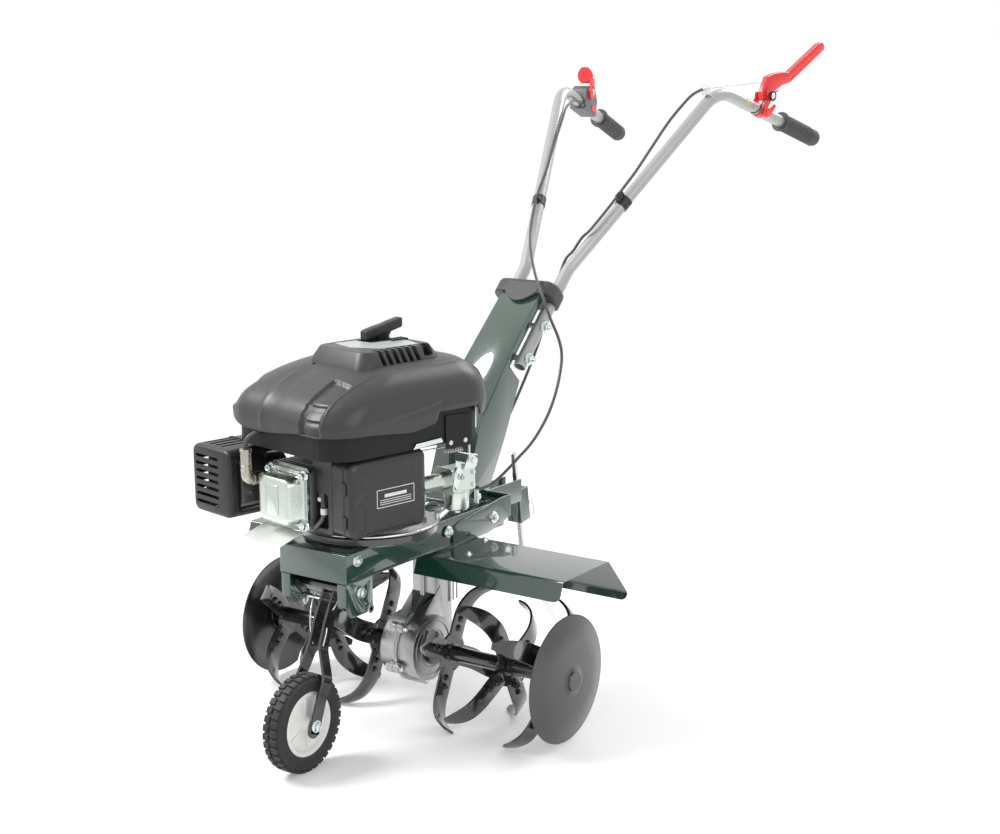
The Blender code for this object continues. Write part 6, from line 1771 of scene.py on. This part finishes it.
class CULTIVATOR_OT_wheel(bpy.types.Operator):
    """Transport wheel with its lugged tyre, on its bent fork"""
    bl_idname = "cultivator.wheel"
    bl_label = "Transport Wheel"

    def execute(self, context):
        white = finish_named("white_plastic")
        rubber = finish_named("tyre_rubber")
        black = finish_named("black_enamel")
        zinc = finish_named("zinc")
        rim = ((0.0050, -0.0200), (0.0104, -0.0200), (0.0112, -0.0190), (0.0128, -0.0085),
               (0.0150, -0.0068), (0.0380, -0.0058), (0.0412, -0.0068), (0.0438, -0.0122),
               (0.0446, -0.0130), (0.0494, -0.0130), (0.0500, -0.0124), (0.0500, 0.0124),
               (0.0494, 0.0130), (0.0446, 0.0130), (0.0438, 0.0122), (0.0412, 0.0068),
               (0.0380, 0.0058), (0.0150, 0.0068), (0.0128, 0.0085), (0.0112, 0.0190),
               (0.0104, 0.0200), (0.0050, 0.0200))
        finish("wheel_centre", turned([(r, WHEEL_X + x) for r, x in rim], "X", WHEEL_CENTRE, 96),
               white, "wheel", ("wheel_rim",))
        web = box((WHEEL_X + 0.0055, -0.0012, 0.0120), (WHEEL_X + 0.0082, 0.0012, 0.0420))
        repeated("wheel_ribs", web, "ring",
                 {"Count": 6, "Axis": (1, 0, 0), "Centre": (0, *WHEEL_CENTRE)}, white, "wheel")
        half = WHEEL_HALF
        profile = [(0.0503, -0.0135), (0.0530, -half + 0.0006), (0.0560, -half)]
        for i in range(13):
            a = math.radians(-90 + 180 * i / 12)
            profile.append((0.0640 + 0.0098 * math.cos(a), (half - 0.0004) * math.sin(a)))
        profile += [(0.0560, half), (0.0530, half - 0.0006), (0.0503, 0.0135)]
        finish("tyre_carcass", turned([(r, WHEEL_X + x) for r, x in profile], "X", WHEEL_CENTRE,
                                      96), rubber, "wheel", ("tyre",))
        count = context.scene.cultivator_sizes.tyre_lugs
        for row, (low, high, start) in enumerate(((0.0012, 0.0128, 0.0),
                                                  (-0.0128, -0.0012, math.pi / count))):
            rings = []
            for radius, inset in ((0.0690, 0.0), (0.0744, 0.0), (WHEEL_RADIUS, 0.0008)):
                drop = 0.0006 if radius > 0.075 else 0.0
                rings.append([Vector((WHEEL_X + x, y, radius - drop * (abs(x) > 0.006)))
                              for x, y in ((high - inset, 0.0048 - inset),
                                           (low + inset, 0.0048 - inset),
                                           (low + inset, -0.0048 + inset),
                                           (high - inset, -0.0048 + inset))])
            repeated(f"tyre_lugs_{row + 1}", skin(rings), "ring",
                     {"Count": count, "Axis": (1, 0, 0), "Centre": (0, *WHEEL_CENTRE),
                      "Start": start}, rubber, "wheel")

        legs = []
        for side in (-1, 1):
            wide = WHEEL_X + side * 0.0255
            close = WHEEL_X * 0.5 + side * 0.0100
            route = ((wide, -0.3110, 0.0640), (wide, -0.2900, 0.1180), (wide, -0.2760, 0.1400),
                     (close, -0.2560, 0.1800), (close, -0.2400, 0.2200), (close, -0.2170, 0.2620))
            points = filleted(route, (0.10, 0.024, 0.024, 0.08), 7)
            stations = []
            last = len(points) - 1
            for i, point in enumerate(points):
                run = (points[min(i + 1, last)] - points[max(i - 1, 0)]).normalized()
                width = run.cross(Vector((1, 0, 0))).normalized()
                thick = run.cross(width).normalized() * 0.0022
                stations.append((point, width * 0.0110, thick))
            legs.append(ribbon(stations))
            foot = (-0.3105, 0.0700)
            legs.append(rod(0.0118, wide - 0.0022, wide + 0.0022, "X", foot, 40))
        legs.append(rod(0.0110, -0.0600, 0.0600, "X", (-0.2170, 0.2655), 40))
        finish("wheel_fork_legs", gather(*legs), black, "wheel_leg", ("wheel_fork",),
               edge=0.0009)
        springs = [wire([(side * 0.0240, -0.2180, 0.2560), (side * 0.0230, -0.2290, 0.2400),
                         (side * 0.0160, -0.2420, 0.2230), (side * 0.0160 + 0.006, -0.2500,
                                                            0.2050),
                         (side * 0.0100 + 0.012, -0.2590, 0.1840)], 0.0012) for side in (1, -1)]
        finish("fork_spring", gather(*springs), zinc, "wheel_leg", ())
        axle = gather(rod(0.0046, WHEEL_X - 0.0360, WHEEL_X + 0.0380, "X", WHEEL_CENTRE, 24),
                      rod(0.0040, -0.0720, 0.0700, "X", (-0.2170, 0.2655), 24))
        finish("wheel_axle_shaft", axle, zinc, "wheel_leg", ("wheel_axle_bolt",),
               edge=0.0004)
        y, z = WHEEL_CENTRE
        spots = [((WHEEL_X + 0.0279, y, z), (1, 0, 0)), ((WHEEL_X - 0.0279, y, z), (-1, 0, 0))]
        bolts("wheel_nuts", spots, zinc, "wheel_leg", 0.0078, 0.0060, 0.0100, 0.0012)
        spots = [((0.0647, -0.2170, 0.2655), (1, 0, 0)), ((-0.0647, -0.2170, 0.2655), (-1, 0, 0))]
        bolts("fork_nuts", spots, zinc, "wheel_leg", 0.0072, 0.0052, 0.0092, 0.0012)
        pin = gather(rod(0.0036, -0.0700, 0.0690, "X", (-0.199, 0.236), 24),
                     rod(0.0070, 0.0645, 0.0690, "X", (-0.199, 0.236), 32))
        finish("lock_pin_rod", pin, zinc, "chassis", ("lock_pin",), edge=0.0005)
        clip = wire([(-0.0670, -0.1990, 0.2500), (-0.0670, -0.1990, 0.2250),
                     (-0.0672, -0.1950, 0.2180), (-0.0672, -0.1890, 0.2250),
                     (-0.0670, -0.1935, 0.2360), (-0.0670, -0.1890, 0.2460)], 0.0011)
        finish("lock_pin_clip", clip, zinc, "chassis", ())
        return {"FINISHED"}


STAKE_TOP = Vector((0.0, 0.2975, 0.2830))
STAKE_TILT = Euler((math.radians(8.0), 0, 0))


class CULTIVATOR_OT_stake(bpy.types.Operator):
    """Drag stake with its cross pin and hanging clip"""
    bl_idname = "cultivator.stake"
    bl_label = "Drag Stake"

    def execute(self, context):
        steel = finish_named("bright_steel")
        up = STAKE_TILT.to_matrix() @ Vector((0, 0, 1))
        path = filleted([STAKE_TOP + up * 0.0950, STAKE_TOP - up * 0.1050,
                         Vector((0.0, 0.4300, 0.0170)), Vector((0.0, 0.4600, 0.0061))],
                        (0.040, 0.020), 14)
        finish("stake_rod", bar(path, 0.0061, 32), steel, "stake", ("drag_stake",),
               edge=0.0006)
        pin = gather(rod(0.0023, STAKE_TOP.y + 0.0067, 0.3420, "Y", (STAKE_TOP.z, 0.0), 18),
                     rod(0.0048, 0.3200, 0.3225, "Y", (STAKE_TOP.z, 0.0), 24))
        clip = wire([(0.0, 0.3380, STAKE_TOP.z + 0.0030), (0.0040, 0.3385, STAKE_TOP.z - 0.0060),
                     (0.0055, 0.3390, STAKE_TOP.z - 0.0240), (0.0010, 0.3390,
                                                              STAKE_TOP.z - 0.0300),
                     (-0.0045, 0.3385, STAKE_TOP.z - 0.0220), (-0.0025, 0.3380,
                                                               STAKE_TOP.z - 0.0040)], 0.0011)
        finish("stake_cross_pin", gather(pin, clip), finish_named("zinc"), "chassis",
               ("stake_pin",))
        return {"FINISHED"}


# ---- controls --------------------------------------------------------------------------------
class CULTIVATOR_OT_controls(bpy.types.Operator):
    """Clutch lever with its bracket, latch and spring, and the throttle control"""
    bl_idname = "cultivator.hand_controls"
    bl_label = "Hand Controls"

    def execute(self, context):
        red = finish_named("red_plastic")
        zinc = finish_named("zinc")
        plates = []
        for side in (1, -1):
            strap = []
            for (cy, cz, r), start in (((0.1380, 0.0300, 0.0078), 0), ((0.1290, 0.0010, 0.0074),
                                                                     180)):
                for i in range(13):
                    a = math.radians(start - 16 + 15 * i)
                    strap.append((cy + r * math.cos(a), cz + r * math.sin(a)))
            low, high = sorted((side * 0.0122, side * 0.0142))
            plates.append(prism(strap, low, high, "X"))
        saddle = turned(((TUBE_RADIUS + GAP, 0.1220), (TUBE_RADIUS + 0.0022, 0.1220),
                         (TUBE_RADIUS + 0.0022, 0.1360), (TUBE_RADIUS + GAP, 0.1360)), "Y",
                        sides=48)
        finish("clutch_straps", gather(saddle, *plates), red, "chassis", ("clutch_bracket",),
               LEFT_HANDLE, 0.0005)
        adjuster = MACHINE @ Vector((0.1605, 0.6570, 0.9978))
        hook = LEFT_HANDLE @ Vector((0.0, 0.1285, 0.0540))
        run = (hook - adjuster).normalized()
        barrel = [bar([adjuster - run * 0.0040, adjuster + run * 0.0160], 0.0036, 20),
                  bar([adjuster + run * 0.0020, adjuster + run * 0.0050], 0.0064, 6),
                  bar([adjuster + run * 0.0110, adjuster + run * 0.0135], 0.0062, 6)]
        seat = MACHINE @ Vector((0.1640, 0.6800, 0.9800))
        arm = [adjuster + run * 0.0080, adjuster + run * 0.0080 - Vector((0, 0, 0.0100)), seat]
        barrel.append(ribbon([(p, Vector((0.0065, 0.0030, 0.0)), run * 0.0010) for p in arm]))
        finish("clutch_adjuster", gather(*barrel), zinc, "chassis", (), Matrix())
        strand = [adjuster + run * 0.0150 + (hook - adjuster - run * 0.0150) * (i / 30)
                  for i in range(31)]
        finish("clutch_inner_wire", bar(strand, 0.0008, 8), finish_named("bright_steel"),
               ("chassis", "clutch"), (), Matrix(), reach=(strand[0], strand[-1]))
        refined("clutch_lever", red, "clutch", 0.0022)
        refined("safety_latch", red, "latch", 0.0006)
        refined("throttle_housing", finish_named("grey_plastic"), "chassis",
                0.0018)
        y, z = 0.1040, 0.0230
        arm = prism(((y - 0.0100, z + 0.0060), (y + 0.0080, z + 0.0090), (y + 0.0010, z + 0.0270),
                     (y - 0.0120, z + 0.0270)), 0.0163, 0.0215, "X")
        boss = turned(((0.0054, 0.0163), (0.0130, 0.0163), (0.0130, 0.0210), (0.0124, 0.0215),
                       (0.0054, 0.0215)), "X", (y, z), 40)
        pad = skin([[Vector((x + 0.0050, y - 0.0060 - 0.35 * (h - 0.02) + t, z + h)) for x, t in
                     rounded(w, 0.0038, 0.0036, (0.0, 0.0), 6)]
                    for h, w in ((0.0180, 0.0100), (0.0230, 0.0145), (0.0300, 0.0165),
                                 (0.0370, 0.0150), (0.0430, 0.0110), (0.0460, 0.0070))])
        finish("throttle_paddle", gather(arm, boss, pad), red, "throttle", ("throttle_lever",),
               RIGHT_HANDLE, 0.0008)
        rib = prism(((0.1990, 0.0790), (0.2700, 0.1560), (0.2690, 0.1572), (0.1980, 0.0804)),
                    -0.0064, 0.0064, "X")
        finish("clutch_lever_rib", rib, red, "clutch", (), LEFT_HANDLE, 0.0003)
        spots = [((side * 0.0172, 0.1380, 0.0300), (side, 0, 0)) for side in (1, -1)]
        bolts("clutch_pivot_nuts", spots, zinc, "chassis", 0.0062, 0.0040, 0.0078, 0.0010,
              LEFT_HANDLE)
        spring = wire([(0.0195, 0.1500, 0.0440), (0.0200, 0.1280, 0.0300), (0.0196, 0.1140,
                                                                           0.0130),
                       (0.0190, 0.1080, -0.0040), (0.0180, 0.0990, -0.0130),
                       (0.0150, 0.0900, -0.0160)], 0.0012)
        coil = [Vector((0.0178 + 0.0002 * i / 3, 0.1380 + 0.0085 * math.cos(i / 2.2),
                        0.0300 + 0.0085 * math.sin(i / 2.2))) for i in range(46)]
        finish("latch_spring", gather(spring, bar(coil, 0.0010, 8)), finish_named("spring_black"),
               "chassis", (), LEFT_HANDLE)
        line = turned(((TUBE_RADIUS - 0.0002, 0.0780), (TUBE_RADIUS + 0.0003, 0.0780),
                       (TUBE_RADIUS + 0.0003, 0.0810), (TUBE_RADIUS - 0.0002, 0.0810)), "Y",
                      sides=48)
        finish("marker_ring", line, finish_named("yellow_line"), "chassis", (), LEFT_HANDLE)
        screw = gather(rod(0.0052, 0.0158, 0.0236, "X", (0.1040, 0.0230), 32))
        screw = cut(screw, box((0.0226, 0.1000, 0.0225), (0.0250, 0.1080, 0.0235)))
        screw = cut(screw, box((0.0226, 0.1035, 0.0190), (0.0250, 0.1045, 0.0270)))
        finish("throttle_screw", screw, zinc, "chassis", (), RIGHT_HANDLE, 0.0004)
        tab = box((0.0150, 0.1200, -0.0080), (0.0172, 0.1400, 0.0040))
        finish("throttle_tab", tab, red, "chassis", (), RIGHT_HANDLE, 0.0006)
        return {"FINISHED"}


# ---- panel and start -------------------------------------------------------------------------
OPERATORS = (CULTIVATOR_OT_stage, CULTIVATOR_OT_cables, CULTIVATOR_OT_frame,
             CULTIVATOR_OT_handles, CULTIVATOR_OT_cover, CULTIVATOR_OT_engine,
             CULTIVATOR_OT_air_filter, CULTIVATOR_OT_carburettor, CULTIVATOR_OT_rotors,
             CULTIVATOR_OT_drive, CULTIVATOR_OT_wheel, CULTIVATOR_OT_stake,
             CULTIVATOR_OT_controls)


class CULTIVATOR_PT_panel(bpy.types.Panel):
    """Lists the pieces of the cultivator with their settings"""
    bl_idname = "CULTIVATOR_PT_panel"
    bl_label = "Mini Cultivator"
    bl_space_type = "VIEW_3D"
    bl_region_type = "UI"
    bl_category = "Cultivator"

    def draw(self, context):
        for settings in (context.scene.cultivator_colours, context.scene.cultivator_sizes):
            column = self.layout.column(align=True)
            for name in settings.__annotations__:
                column.prop(settings, name)
        for operator in OPERATORS:
            self.layout.operator(operator.bl_idname)


CLASSES = (CultivatorColours, CultivatorSizes, *OPERATORS, CULTIVATOR_PT_panel)


def register():
    for cls in CLASSES:
        bpy.utils.register_class(cls)
    bpy.types.Scene.cultivator_colours = PointerProperty(type=CultivatorColours)
    bpy.types.Scene.cultivator_sizes = PointerProperty(type=CultivatorSizes)


def unregister():
    del bpy.types.Scene.cultivator_sizes
    del bpy.types.Scene.cultivator_colours
    for cls in reversed(CLASSES):
        bpy.utils.unregister_class(cls)


def main():
    register()
    for operator in OPERATORS:
        group, name = operator.bl_idname.split(".")
        getattr(getattr(bpy.ops, group), name)()


if __name__ == "__main__":
    main()
